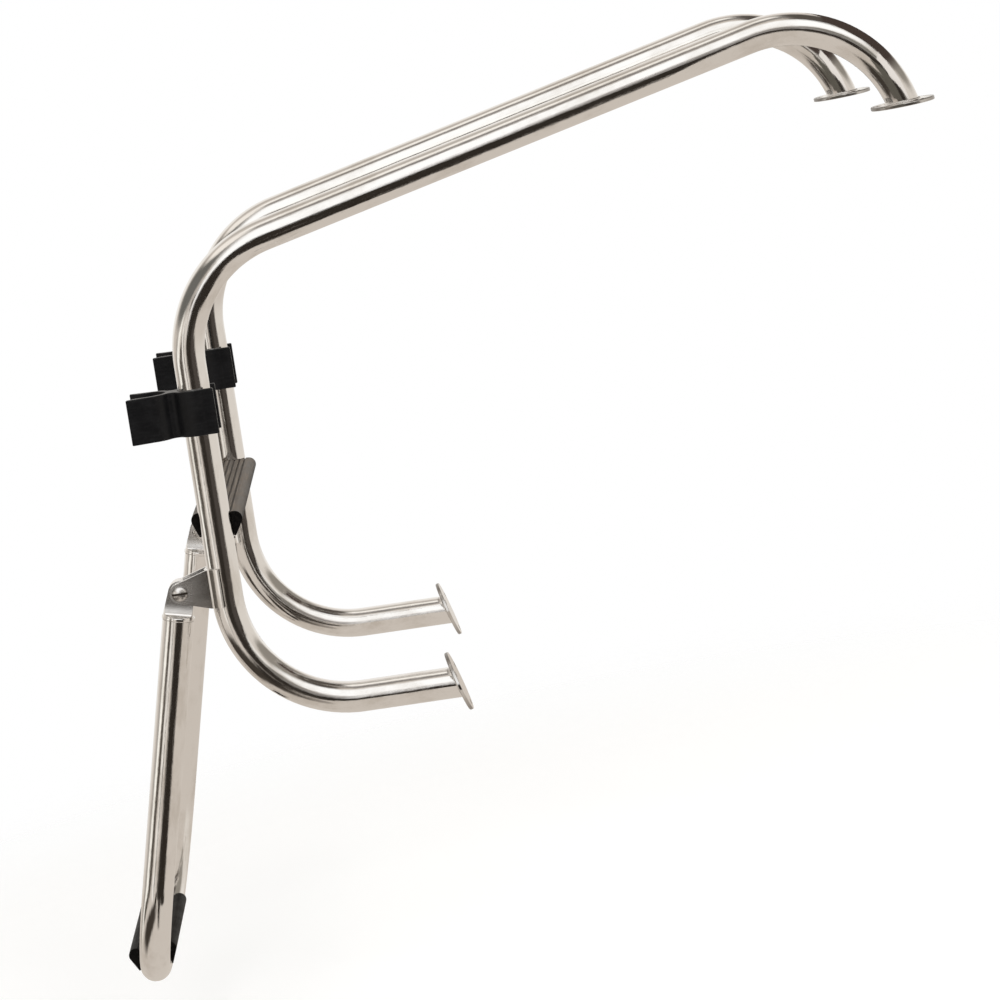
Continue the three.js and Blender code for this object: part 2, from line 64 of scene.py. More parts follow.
# %% Sizes and frames
MM = 0.001
TUBE_RADIUS = 12.62 * MM  # a hair under the solid's, so that smooth bends stay inside its facets
BEND_RADIUS = 95 * MM
RAIL_PLACE = 140 * MM  # of each rail from the middle
PAD_THICKNESS = 3 * MM
SEAM = 0.3 * MM  # the solids' gap between a tube's end and its pad
LEG_LEAN = math.radians(17.3)
PIN_OFFSET = 36 * MM
PIN_DROP = 252.5 * MM
SIDES = (("starboard", -1), ("port", 1))


def heading(degrees):
    """A direction in the side view, with 0 towards the boat and 90 straight up."""
    angle = math.radians(degrees)
    return Vector((math.cos(angle), 0, math.sin(angle)))


DIAGONAL_LENGTH, RISER_LENGTH, ARM_LENGTH = 568.5, 358.2, 170.5  # corner to corner, in mm
deck_lean, diagonal_slope, riser_lean, arm_slope, transom_lean = 13.9, 9.8, 4, 4.1, 13  # in degrees
deck_stub = 2 * MM
top_turn = math.radians(90 + diagonal_slope - deck_lean)
deck_seat = Vector((0, 0, PAD_THICKNESS + SEAM))
top_corner = deck_seat + heading(90 + deck_lean) * (deck_stub + BEND_RADIUS * math.tan(top_turn / 2))
knee_corner = top_corner + heading(180 + diagonal_slope) * DIAGONAL_LENGTH * MM
foot_corner = knee_corner + heading(270 - riser_lean) * RISER_LENGTH * MM
transom_seat = foot_corner + heading(-arm_slope) * ARM_LENGTH * MM

RISER_LEAN = math.radians(riser_lean)
riser_frame = Matrix.Translation(knee_corner) @ Matrix.Rotation(RISER_LEAN, 4, "Y")
hinge = riser_frame @ Vector((-PIN_OFFSET, 0, -PIN_DROP))
legs_frame = Matrix.Translation(hinge) @ Matrix.Rotation(LEG_LEAN, 4, "Y")
print("hinge line at", tuple(round(v * 1000, 2) for v in hinge), "mm")

# %% [markdown]
# ## The camera
# The lens and the place were solved from the outlines of the two equal, parallel rails, so the picture
# looks from a little above the hinge, with a small roll.

# %% Camera
camera_data = bpy.data.cameras.new("camera")
camera_data.sensor_width = 36
camera_data.sensor_height = 36
camera_data.sensor_fit = "HORIZONTAL"
camera_data.lens = 99.85
camera_data.clip_end = 100
camera = bpy.data.objects.new("camera", camera_data)
bpy.context.scene.collection.objects.link(camera)
camera_right = Vector((0.977025, -0.047896, -0.207673))
camera_up = Vector((0.212831, 0.168164, 0.962509))
camera_back = camera_right.cross(camera_up)
camera.matrix_world = Matrix.Translation((-0.39693, -2.30738, 0.14618)) @ Matrix(
    (camera_right, camera_up, camera_back)
).transposed().to_4x4()
bpy.context.scene.camera = camera
print("camera looks along", tuple(round(v, 3) for v in -camera_back))

# %% [markdown]
# ## Outlines made solid
# Most pieces start as a flat outline with a thickness, or as a profile turned round an axis. Both are
# written in millimetres, as on a workshop drawing, and built with bmesh, which can make any face from its
# corners. The outlines are lines and arcs, and an arc is cut into short steps.

# %% Outline tools
ARC_STEP = math.radians(5)
SAME_POINT = 1e-4  # in mm: closer points of an outline count as one


def arc(centre_x, centre_y, radius, start, end):
    """Points on an arc from one angle to the other, both in radians."""
    count = max(2, math.ceil(abs(end - start) / ARC_STEP))
    return [
        (
            centre_x + radius * math.cos(start + (end - start) * i / count),
            centre_y + radius * math.sin(start + (end - start) * i / count),
        )
        for i in range(count + 1)
    ]


def touch_angle(x, y, radius, turn):
    """Seen from a circle's centre, where a line from a point outside touches it."""
    return math.atan2(y, x) + turn * math.acos(radius / math.hypot(x, y))


def object_from(builder, name):
    """A new object at the origin, from a mesh that is being built."""
    mesh = bpy.data.meshes.new(name)
    builder.to_mesh(mesh)
    builder.free()
    made = bpy.data.objects.new(name, mesh)
    bpy.context.scene.collection.objects.link(made)
    return made


def plate(name, outline, thickness, plane):
    """An outline in millimetres made solid: plane "XZ" is thick along Y, "XY" along Z and "YZ" along X."""
    place = {
        "XZ": lambda u, v, w: (u, w, v),
        "XY": lambda u, v, w: (u, v, w),
        "YZ": lambda u, v, w: (w, u, v),
    }
    kept = [p for i, p in enumerate(outline) if math.dist(p, outline[i - 1]) > SAME_POINT]
    builder = bmesh.new()
    for w in (-thickness / 2, thickness / 2):
        ring = [builder.verts.new(Vector(place[plane](u, v, w)) * MM) for u, v in kept]
        builder.faces.new(ring)
    builder.verts.ensure_lookup_table()
    count = len(kept)
    for i in range(count):
        j = (i + 1) % count
        builder.faces.new([builder.verts[k] for k in (i, j, j + count, i + count)])
    bmesh.ops.recalc_face_normals(builder, faces=builder.faces)
    return object_from(builder, name)


def turned(name, profile, steps, axis="Z"):
    """A profile of (radius, height) points in millimetres, turned round its axis into a closed solid."""
    builder = bmesh.new()
    rings = []
    for radius, height in profile:
        if radius < SAME_POINT:
            rings.append([builder.verts.new((0, 0, height * MM))] * steps)
            continue
        angles = [2 * math.pi * i / steps for i in range(steps)]
        ring = [Vector((math.cos(a), math.sin(a), height / radius)) * radius * MM for a in angles]
        rings.append([builder.verts.new(point) for point in ring])
    for lower, upper in zip(rings, rings[1:]):
        for i in range(steps):
            corners = [lower[i - 1], lower[i], upper[i], upper[i - 1]]
            unique = [c for k, c in enumerate(corners) if c not in corners[:k]]
            if len(unique) > 2:
                builder.faces.new(unique)
    bmesh.ops.recalc_face_normals(builder, faces=builder.faces)
    made = object_from(builder, name)
    if axis == "Y":
        made.data.transform(Matrix.Rotation(-math.pi / 2, 4, "X"))
    if axis == "X":
        made.data.transform(Matrix.Rotation(math.pi / 2, 4, "Y"))
    return made


def rod(radius, length, axis, steps=72):
    """A plain cylinder about the origin. A cutter only has to be long enough to pass right through."""
    profile = [(0, -length / 2), (radius, -length / 2), (radius, length / 2), (0, length / 2)]
    return turned("cutter", profile, steps, axis)


def block(low, high):
    """A box between two corners in millimetres, used to cut other pieces."""
    builder = bmesh.new()
    bmesh.ops.create_cube(builder, size=1)
    size = [(b - a) * MM for a, b in zip(low, high)]
    middle = Vector([(a + b) / 2 * MM for a, b in zip(low, high)])
    fitted = Matrix.Translation(middle) @ Matrix.Diagonal((*size, 1))
    bmesh.ops.transform(builder, matrix=fitted, verts=builder.verts)
    return object_from(builder, "cutter")


print("outline tools ready, with arcs in steps of", round(math.degrees(ARC_STEP)), "degrees")

# %% [markdown]
# ## Joined, cut and rounded
# Boolean modifiers join and cut the rough shapes, and a bevel rounds the edges, as a file would on the real
# piece. Each modifier is applied at once, so the next step works on a plain mesh. Every object stays at the
# origin and unturned, with its place in its points, so that a pattern on object coordinates stays with it.

# %% Mesh tools
MERGE_DISTANCE = 1e-6  # in metres: closer points of a mesh are merged


def move(made, matrix):
    """Moves a piece's points, so that the object itself stays at the origin."""
    made.data.transform(matrix)
    return made


def plain(made):
    """The object with its modifiers applied, as one plain mesh."""
    depsgraph = bpy.context.evaluated_depsgraph_get()
    evaluated = made.evaluated_get(depsgraph)
    mesh = bpy.data.meshes.new_from_object(evaluated, preserve_all_data_layers=True, depsgraph=depsgraph)
    mesh.name = made.name
    made.modifiers.clear()
    made.data = mesh
    return made


def combine(made, operation, *others):
    """Joins, cuts or intersects a piece with the others, which are used up."""
    for other in others:
        modifier = made.modifiers.new("combine", "BOOLEAN")
        modifier.operation = operation
        modifier.solver = "EXACT"
        modifier.object = other
    plain(made)
    for other in others:
        bpy.data.objects.remove(other)
    return made


def round_edges(made, width, segments=3, sharper_than=32):
    """Rounds every edge that is sharper than an angle, and shades the rest smooth."""
    bevel = made.modifiers.new("round", "BEVEL")
    bevel.width = width * MM
    bevel.segments = segments
    bevel.limit_method = "ANGLE"
    bevel.angle_limit = math.radians(sharper_than)
    bevel.harden_normals = True
    made.data.shade_smooth()
    return plain(made)


def face_outwards(made, merge=True):
    """Turns every face outwards, and first merges the points that lie on each other."""
    builder = bmesh.new()
    builder.from_mesh(made.data)
    if merge:
        bmesh.ops.remove_doubles(builder, verts=builder.verts, dist=MERGE_DISTANCE)
    bmesh.ops.recalc_face_normals(builder, faces=builder.faces)
    builder.to_mesh(made.data)
    builder.free()


def shade(made, sharper_than):
    """Shades a piece smooth, except across edges that are sharper than an angle."""
    made.data.shade_smooth()
    made.data.set_sharp_from_angle(angle=math.radians(sharper_than))


def copy_of(made, name, matrix):
    """A second piece from the same mesh, put somewhere else."""
    mesh = made.data.copy()
    mesh.name = name
    mesh.transform(matrix)
    if matrix.determinant() < 0:
        mesh.flip_normals()
    other = bpy.data.objects.new(name, mesh)
    bpy.context.scene.collection.objects.link(other)
    return other


def at_side(sign, frame_matrix=Matrix.Identity(4), x=0.0, z=0.0):
    """A place in one of the ladder's frames, on one of the two rails' planes."""
    return frame_matrix @ Matrix.Translation((x, sign * RAIL_PLACE, z))


print("mesh tools ready, which merge points closer than", MERGE_DISTANCE, "m")

# %% [markdown]
# ## Small tools for nodes
# A finish takes dozens of nodes, and most of them are arithmetic, a soft step or some noise. Each of these
# helpers makes one kind and links it, so that the finishes below read almost like formulas.

# %% Node tools


def group_with(name, inputs, outputs):
    """An empty shader group with its sockets, and its input and output nodes."""
    tree = bpy.data.node_groups.new(name, "ShaderNodeTree")
    for socket, kind in inputs:
        tree.interface.new_socket(socket, in_out="INPUT", socket_type=kind)
    for socket in outputs:
        tree.interface.new_socket(socket, in_out="OUTPUT", socket_type="NodeSocketFloat")
    return tree, tree.nodes.new("NodeGroupInput"), tree.nodes.new("NodeGroupOutput")


def math_node(tree, operation, first, second=None, third=None):
    """A math node whose inputs are sockets or numbers."""
    node = tree.nodes.new("ShaderNodeMath")
    node.operation = operation
    for socket, value in zip(node.inputs, (first, second, third)):
        if isinstance(value, bpy.types.NodeSocket):
            tree.links.new(value, socket)
        elif value is not None:
            socket.default_value = value
    return node.outputs[0]


def ramp_node(tree, value, low, high):
    """0 below low, 1 above high, and smooth between them."""
    node = tree.nodes.new("ShaderNodeMapRange")
    node.interpolation_type = "SMOOTHSTEP"
    tree.links.new(value, node.inputs["Value"])
    for name, number in (("From Min", low), ("From Max", high)):
        if isinstance(number, bpy.types.NodeSocket):
            tree.links.new(number, node.inputs[name])
        else:
            node.inputs[name].default_value = number
    return node.outputs["Result"]


def noise_node(tree, vector, scale, detail=3.0, roughness=0.5, stretch=(1, 1, 1)):
    """Noise over a vector that is first stretched."""
    mapping = tree.nodes.new("ShaderNodeMapping")
    mapping.inputs["Scale"].default_value = stretch
    tree.links.new(vector, mapping.inputs["Vector"])
    noise = tree.nodes.new("ShaderNodeTexNoise")
    noise.inputs["Scale"].default_value = scale
    noise.inputs["Detail"].default_value = detail
    noise.inputs["Roughness"].default_value = roughness
    tree.links.new(mapping.outputs[0], noise.inputs["Vector"])
    return noise.outputs["Fac"]


print("node tools ready")

# %% [markdown]
# ## Effects that finishes share
# Polished tube shows long, faint drawing lines, finger smudges and tiny pits. Moulded rubber and plastic
# show a fine grain, a slow mottling and scuffs. Each set is a node group that puts out masks only, so that
# every material can use it with weights of its own.

# %% Effect groups


def polished_group():
    """Masks over a vector in metres: drawing lines, smudges, pits and slow waves."""
    tree, given, out = group_with(
        "polished_metal", [("Vector", "NodeSocketVector")], ["Lines", "Smudges", "Pits", "Waves"]
    )
    vector = given.outputs["Vector"]
    # the first coordinate runs along the tube, so lines are stretched that way
    lines = noise_node(tree, vector, 2600, 2, 0.6, (0.012, 1, 1))
    tree.links.new(ramp_node(tree, lines, 0.42, 0.72), out.inputs["Lines"])
    smudges = noise_node(tree, vector, 42, 5, 0.62, (0.5, 1, 1))
    tree.links.new(ramp_node(tree, smudges, 0.46, 0.74), out.inputs["Smudges"])
    pits = noise_node(tree, vector, 900, 2, 0.5)
    tree.links.new(ramp_node(tree, pits, 0.66, 0.8), out.inputs["Pits"])
    tree.links.new(noise_node(tree, vector, 95, 3, 0.55, (0.45, 1, 1)), out.inputs["Waves"])
    return tree


def moulded_group():
    """Masks over a vector in metres: a fine grain, a slow mottling and long, thin scuffs."""
    tree, given, out = group_with(
        "moulded_surface", [("Vector", "NodeSocketVector")], ["Grain", "Mottle", "Scuffs"]
    )
    vector = given.outputs["Vector"]
    tree.links.new(noise_node(tree, vector, 2200, 3, 0.6), out.inputs["Grain"])
    tree.links.new(ramp_node(tree, noise_node(tree, vector, 70, 4, 0.6), 0.35, 0.7), out.inputs["Mottle"])
    scuffs = noise_node(tree, vector, 620, 3, 0.65, (0.03, 1, 1))
    tree.links.new(ramp_node(tree, scuffs, 0.45, 0.68), out.inputs["Scuffs"])
    return tree


polished = polished_group()
moulded = moulded_group()
print("effect groups:", polished.name, "and", moulded.name)

# %% [markdown]
# ## Tools for finishes
# Colours are written as they look on screen and turned into the linear values that shaders work with. Some
# marks belong to a place on a piece and not to its pattern, such as a painted sheen on an edge or painted
# shade in a slot. A piece carries those as attributes, a number on each point, and its finish reads them by
# name.

# %% Finish tools


def linear(red, green, blue):
    """A colour given as it looks on screen, 0 to 255, as the linear values that nodes want."""

    def channel(c):
        return ((c / 255 + 0.055) / 1.055) ** 2.4 if c > 10 else c / 255 / 12.92

    return (channel(red), channel(green), channel(blue), 1)


def new_material(name):
    """A new material, its node tree and its shader."""
    material = bpy.data.materials.new(name)
    material.use_nodes = True
    tree = material.node_tree
    return material, tree, tree.nodes["Principled BSDF"]


def mix_colour(tree, factor, first, second):
    """The first colour where the factor is 0, the second where it is 1. Each is a socket or a colour."""
    node = tree.nodes.new("ShaderNodeMix")
    node.data_type = "RGBA"
    tree.links.new(factor, node.inputs["Factor"])
    for socket, value in ((node.inputs["A"], first), (node.inputs["B"], second)):
        if isinstance(value, bpy.types.NodeSocket):
            tree.links.new(value, socket)
        else:
            socket.default_value = value
    return node.outputs["Result"]


def effect(tree, group, vector):
    """The masks of an effect group over a vector."""
    node = tree.nodes.new("ShaderNodeGroup")
    node.node_tree = group
    tree.links.new(vector, node.inputs["Vector"])
    return node.outputs


def mask_of(tree, name):
    """What a piece's own attribute says at each point, or 0 where it has none of that name."""
    source = tree.nodes.new("ShaderNodeAttribute")
    source.attribute_name = name
    return source.outputs["Fac"]


def mark(made, name, value_at):
    """Gives each point of a piece a number from its place, for a finish to read."""
    mask = made.data.attributes.new(name, "FLOAT", "POINT")
    for item, vertex in zip(mask.data, made.data.vertices):
        item.value = min(1.0, max(0.0, value_at(vertex.co / MM)))


def bump(tree, shader, height, distance):
    """Relief from a height mask, as deep as the distance where the mask goes from 0 to 1."""
    node = tree.nodes.new("ShaderNodeBump")
    node.inputs["Distance"].default_value = distance
    tree.links.new(height, node.inputs["Height"])
    tree.links.new(node.outputs["Normal"], shader.inputs["Normal"])


def weighted_sum(tree, base, *terms):
    """base plus each weight times its socket."""
    total = base
    for weight, socket in terms:
        total = math_node(tree, "MULTIPLY_ADD", socket, weight, total)
    return total


print("finish tools ready")

# %% [markdown]
# ## Stainless steel
# Stainless steel is nearly all reflection, so its colour is pale and warm, and what changes is how blurred
# each spot is. The tubes carry a "tube_space" attribute, which runs along the bends, and the pressed and
# turned parts use object coordinates. Two more attributes say where a part differs from the rest of itself:
# "satin" where it was brushed and not polished, and a second one where a darker colour is painted in:
# painted shade in a pin's slot and round its head, and a painted dark reflection on the pads' rims. An
# attribute was chosen over a texture for these, because they follow the part's shape.

# %% Stainless finishes
# the colour of painted shade and of painted dark reflections on steel
PAINTED_DARK_COLOUR = linear(84, 77, 71)


def stainless(name, rough, relief, along_tube=False, satin=0.0, with_painted_shade_and_reflection=False):
    """Steel with a roughness of its own, to which each mark adds. The attributes add the most."""
    material, tree, shader = new_material(name)
    if along_tube:
        source = tree.nodes.new("ShaderNodeAttribute")
        source.attribute_name = "tube_space"
        vector = source.outputs["Vector"]
    else:
        vector = tree.nodes.new("ShaderNodeTexCoord").outputs["Object"]
    marks = effect(tree, polished, vector)
    dull = weighted_sum(tree, 0.0, (0.75, marks["Smudges"]), (0.25, marks["Pits"]))
    colour = mix_colour(tree, dull, linear(245, 244, 243), linear(222, 218, 213))
    blurs = [(0.04, marks["Lines"]), (0.06, marks["Smudges"]), (0.06, marks["Pits"])]
    if satin:
        blurs.append((satin, mask_of(tree, "satin")))
    if with_painted_shade_and_reflection:
        # painted shade and painted dark reflection, mixed into the colour; the same mask also blurs the
        # reflection
        painted_shade_and_reflection = mask_of(tree, "painted_shade_and_reflection")
        colour = mix_colour(tree, painted_shade_and_reflection, colour, PAINTED_DARK_COLOUR)
        blurs.append((0.2, painted_shade_and_reflection))
    tree.links.new(colour, shader.inputs["Base Color"])
    shader.inputs["Metallic"].default_value = 1.0
    tree.links.new(weighted_sum(tree, rough, *blurs), shader.inputs["Roughness"])
    height = weighted_sum(tree, 0.0, (1.0, marks["Waves"]), (0.08, marks["Lines"]), (-0.05, marks["Pits"]))
    bump(tree, shader, height, relief)
    return material


tube_steel = stainless("polished_tube", rough=0.045, relief=0.12 * MM, along_tube=True)
pressed_steel = stainless("pressed_steel", rough=0.1, relief=0.04 * MM, satin=0.13, with_painted_shade_and_reflection=True)
bracket_steel = stainless("bracket_steel", rough=0.07, relief=0.04 * MM, satin=0.22)
turned_steel = stainless("turned_steel", rough=0.08, relief=0.03 * MM, with_painted_shade_and_reflection=True)
weld_steel = stainless("weld_steel", rough=0.2, relief=0.05 * MM)
steels = (tube_steel, pressed_steel, bracket_steel, turned_steel, weld_steel)
print("steel finishes:", *(steel.name for steel in steels))

# %% [markdown]
# ## Rubber, plastic and nylon
# Moulded parts are dark but never quite black. The clips' rims and the steps' tops are painted greyer, as a
# painted sheen where light falls on them, together with the wear and scuffs there, and an attribute marks
# where. One function makes all three finishes, because they differ only in their two colours, their gloss
# and how deep the grain is. The steps' scuffs run along the step, so their pattern is turned by a quarter.

# %% Rubber, plastic and nylon finishes


def moulded_finish(name, dark, grey, rough, relief, gloss, lengthwise=False):
    """A moulded surface, which goes from the dark colour to the grey one where it carries painted sheen,
    wear and scuffs.
    """
    material, tree, shader = new_material(name)
    shader.inputs["Specular IOR Level"].default_value = gloss
    turn = tree.nodes.new("ShaderNodeMapping")
    turn.inputs["Rotation"].default_value = (0, 0, math.pi / 2 if lengthwise else 0)
    tree.links.new(tree.nodes.new("ShaderNodeTexCoord").outputs["Object"], turn.inputs["Vector"])
    marks = effect(tree, moulded, turn.outputs["Vector"])
    painted_sheen_and_wear = mask_of(tree, "painted_sheen_and_wear")
    # the marks show fully where the piece has painted sheen and wear, and hardly at all elsewhere
    shown = math_node(tree, "MULTIPLY_ADD", painted_sheen_and_wear, 0.95, 0.05)
    share = weighted_sum(tree, 0.0, (0.25, marks["Mottle"]), (0.45, marks["Scuffs"]))
    share = math_node(tree, "MULTIPLY", share, shown)
    # the painted sheen itself: a grey share wherever the sheen and wear mask is set
    share = math_node(tree, "MULTIPLY_ADD", painted_sheen_and_wear, 0.42, share)
    share = math_node(tree, "MINIMUM", share, 1.0)
    tree.links.new(mix_colour(tree, share, dark, grey), shader.inputs["Base Color"])
    roughness = weighted_sum(tree, rough, (0.1, marks["Mottle"]), (0.08, marks["Scuffs"]), (-0.06, painted_sheen_and_wear))
    tree.links.new(roughness, shader.inputs["Roughness"])
    bump(tree, shader, weighted_sum(tree, 0.0, (1.0, marks["Grain"]), (0.5, marks["Scuffs"])), relief)
    return material


# the grey is the painted highlight on the clips' rims, and the colour of their scuffs
clip_rubber = moulded_finish(
    "clip_rubber", linear(8, 8, 9), linear(40, 40, 42), rough=0.34, relief=0.05 * MM, gloss=0.2
)
# the grey is the painted sheen on the steps' tops, and the colour of their wear and scuffs
tread_plastic = moulded_finish(
    "tread_plastic",
    linear(7, 6, 6),
    linear(122, 112, 102),
    rough=0.42,
    relief=0.1 * MM,
    gloss=0.07,
    lengthwise=True,
)
washer_nylon = moulded_finish(
    "washer_nylon", linear(206, 203, 194), linear(232, 229, 222), rough=0.4, relief=0.02 * MM, gloss=0.5
)
print("moulded finishes:", clip_rubber.name, tread_plastic.name, washer_nylon.name)

# %% [markdown]
# ## Dressing a piece
# Every finished piece is dressed in the same way: it gets one material and the body that it rides on, and
# the solids that it stands for are hidden. One function does this, so that no piece is left without any of
# them.

# %% Dressing


def dress(made, body, slot, material, *nodes):
    """Gives a finished piece its material and its body, and hides the solids that it stands for."""
    made.data.materials.clear()
    made.data.materials.append(material)
    for polygon in made.data.polygons:
        polygon.material_index = 0
    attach(made, body)
    if nodes:
        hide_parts(*nodes)
    return made


# %% [markdown]
# ## Bent tubes
# The rails and the lower section are tubes pulled round a die, so every bend has the same radius. The shape
# follows a rule, a few corners and one radius, so a Geometry Nodes tree makes it: the corners become a
# curve, Fillet Curve rounds them, and Curve to Mesh sweeps a circle. The tree stores how far along the tube
# each point is, and where round it, for the finish.

# %% The bent tube tree


def geometry_tree(name, inputs):
    """An empty Geometry Nodes tree with its inputs, and what its two end nodes offer."""
    tree = bpy.data.node_groups.new(name, "GeometryNodeTree")
    tree.interface.new_socket("Geometry", in_out="INPUT", socket_type="NodeSocketGeometry")
    for socket, kind in inputs:
        tree.interface.new_socket(socket, in_out="INPUT", socket_type=kind)
    tree.interface.new_socket("Geometry", in_out="OUTPUT", socket_type="NodeSocketGeometry")
    return tree, tree.nodes.new("NodeGroupInput").outputs, tree.nodes.new("NodeGroupOutput").inputs


def wire(tree, node_type, settings=(), **links):
    """A node with its settings, and its named inputs linked or set."""
    node = tree.nodes.new(node_type)
    for key, value in dict(settings).items():
        setattr(node, key, value)
    for key, value in links.items():
        socket = node.inputs[key.replace("_", " ")]
        if isinstance(value, bpy.types.NodeSocket):
            tree.links.new(value, socket)
        else:
            socket.default_value = value
    return node


def store(tree, geometry, name, value, kind):
    """Keeps a value on each point, under a name."""
    settings = {"data_type": kind, "domain": "POINT"}
    node = wire(tree, "GeometryNodeStoreNamedAttribute", settings, Geometry=geometry, Name=name)
    tree.links.new(value, node.inputs["Value"])
    return node.outputs["Geometry"]


def bent_tube_tree():
    """A tube swept along a line of corners, which are rounded first."""
    tree, given, out = geometry_tree(
        "bent_tube",
        [
            ("Bend Radius", "NodeSocketFloat"),
            ("Bend Steps", "NodeSocketInt"),
            ("Tube Radius", "NodeSocketFloat"),
            ("Facets", "NodeSocketInt"),
            ("Finish", "NodeSocketMaterial"),
        ],
    )
    curve = wire(tree, "GeometryNodeMeshToCurve", Mesh=given["Geometry"])
    fillet = wire(
        tree,
        "GeometryNodeFilletCurve",
        {"mode": "POLY"},
        Curve=curve.outputs[0],
        Radius=given["Bend Radius"],
        Count=given["Bend Steps"],
    )
    place = wire(tree, "GeometryNodeSplineParameter")
    line = store(tree, fillet.outputs[0], "along", place.outputs["Length"], "FLOAT")
    circle = wire(
        tree,
        "GeometryNodeCurvePrimitiveCircle",
        Resolution=given["Facets"],
        Radius=given["Tube Radius"],
    )
    position = wire(tree, "GeometryNodeInputPosition")
    ring = store(tree, circle.outputs[0], "round", position.outputs[0], "FLOAT_VECTOR")
    swept = wire(tree, "GeometryNodeCurveToMesh", Curve=line, Profile_Curve=ring, Fill_Caps=True)
    solid = wire(tree, "GeometryNodeRealizeInstances", Geometry=swept.outputs[0])
    finished = wire(tree, "GeometryNodeSetMaterial", Geometry=solid.outputs[0], Material=given["Finish"])
    tree.links.new(finished.outputs[0], out["Geometry"])
    return tree


tube_tree = bent_tube_tree()
print("tree:", tube_tree.name)

# %% [markdown]
# ## From corners to a finished tube
# The tree runs as a modifier on a line of corners, and the result is kept as a plain mesh. A tube is made a
# little too long, and the points of its end then slide along it to the plane of its pad. That is simpler
# than a cut, and the end's points stay in step with the rest of the tube.

# %% Tubes from corners
BEND_STEPS, TUBE_FACETS = 26, 64


def polyline(name, points, closed=False):
    """An object with only edges, from point to point."""
    mesh = bpy.data.meshes.new(name)
    edges = [(i, i + 1) for i in range(len(points) - 1)] + ([(len(points) - 1, 0)] if closed else [])
    mesh.from_pydata([tuple(p) for p in points], edges, [])
    made = bpy.data.objects.new(name, mesh)
    bpy.context.scene.collection.objects.link(made)
    return made


def through_tree(made, tree, **values):
    """Runs a piece through a Geometry Nodes tree and keeps the plain mesh."""
    modifier = made.modifiers.new(tree.name, "NODES")
    modifier.node_group = tree
    identifiers = {s.name: s.identifier for s in tree.interface.items_tree if s.in_out == "INPUT"}
    for key, value in values.items():
        modifier[identifiers[key.replace("_", " ")]] = value
    return plain(made)


def slide_to_plane(made, point, normal, direction):
    """The points of a tube's end that are behind a plane slide along the tube until they lie on it."""
    for vertex in made.data.vertices:
        depth = (vertex.co - point).dot(normal)
        if depth < 0 and (vertex.co - point).length < 3 * TUBE_RADIUS:
            vertex.co -= direction * (depth / direction.dot(normal))


def set_tube_space(mesh):
    """One vector for the finish: metres along the tube, and the place on its section."""
    along = [item.value for item in mesh.attributes["along"].data]
    ring = [tuple(item.vector) for item in mesh.attributes["round"].data]
    for name in ("along", "round"):
        mesh.attributes.remove(mesh.attributes[name])
    space = mesh.attributes.new("tube_space", "FLOAT_VECTOR", "POINT")
    for i, target in enumerate(space.data):
        target.vector = (along[i], ring[i][0], ring[i][1])


def swept_tube(name, corners, radius):
    """A tube of some radius through the corners, straight from the tree."""
    return through_tree(
        polyline(name, corners),
        tube_tree,
        Bend_Radius=BEND_RADIUS,
        Bend_Steps=BEND_STEPS,
        Tube_Radius=radius,
        Facets=TUBE_FACETS,
        Finish=tube_steel,
    )


def bent_tube(name, corners, ends=()):
    """A tube through the corners. Each end is a plane to trim it on: point, normal and tube direction."""
    made = swept_tube(name, corners, TUBE_RADIUS)
    set_tube_space(made.data)
    for point, normal, direction in ends:
        slide_to_plane(made, point, normal, direction)
    face_outwards(made)
    shade(made, sharper_than=40)
    return made


print("tubes have", TUBE_FACETS, "facets round, and", BEND_STEPS, "steps in a bend")

# %% [markdown]
# ## The rails and the lower tube
# Each rail rises from its deck pad, runs outboard, drops down the riser and turns back to the transom. Its
# ends are cut on the slant, where they meet the pads.

# %% Rails and lower tube
RUN_PAST = TUBE_RADIUS
pad_sink = 0.4 * MM  # by which a tube's end goes into its pad
transom_normal = heading(180 + transom_lean)
transom_face = transom_seat - transom_normal * SEAM

for side_name, sign in SIDES:
    shift = Vector((0, sign * RAIL_PLACE, 0))
    deck_end = deck_seat - heading(90 + deck_lean) * RUN_PAST
    transom_end = transom_seat + heading(-arm_slope) * RUN_PAST
    corners = [deck_end, top_corner, knee_corner, foot_corner, transom_end]
    deck_plane = (Vector((0, 0, PAD_THICKNESS - pad_sink)), Vector((0, 0, 1)), heading(90 + deck_lean))
    transom_plane = (transom_face - transom_normal * pad_sink, transom_normal, heading(180 - arm_slope))
    planes = [(point + shift, normal, direction) for point, normal, direction in (deck_plane, transom_plane)]
    rail = bent_tube(f"steel_rail_{side_name}", [c + shift for c in corners], planes)
    dress(rail, "rail_frame", "stainless", tube_steel, f"rail_{side_name}")

LEG_TOP, LEG_LENGTH = 22.8 * MM, 339 * MM
leg_turns = ((-1, LEG_TOP), (-1, LEG_LENGTH), (1, LEG_LENGTH), (1, LEG_TOP))
leg_corners = [legs_frame @ Vector((0, sign * RAIL_PLACE, -depth)) for sign, depth in leg_turns]
leg_tube = bent_tube("steel_leg_tube", leg_corners)
dress(leg_tube, "lower_section", "stainless", tube_steel, "lower_tube")
print("tube points:", len(rail.data.vertices), "in a rail,", len(leg_tube.data.vertices), "in the legs")

# %% [markdown]
# ## Pads
# A pad is a turned disc with a softened rim, drilled for three countersunk screws. Its profile is turned
# round an axis, and a boolean cuts the screw holes. The profile has some points across the flat face that
# the shape doesn't need: the painted dark reflection on the rim fades in between them.

# %% Pads
PAD_RADIUS, PAD_HEIGHT, PAD_RIM, PAD_CHAMFER, PAD_STEPS = 25.0, 3.0, 0.9, 0.3, 96
REFLECTION_FADE_RINGS = (22, 19.5, 17)
HOLE_COUNT, HOLE_CIRCLE = 3, 19.5
HOLE_PROFILE = [(0, -1), (2.5, -1), (2.5, 1.3), (4.2, 3), (4.2, 4), (0, 4)]


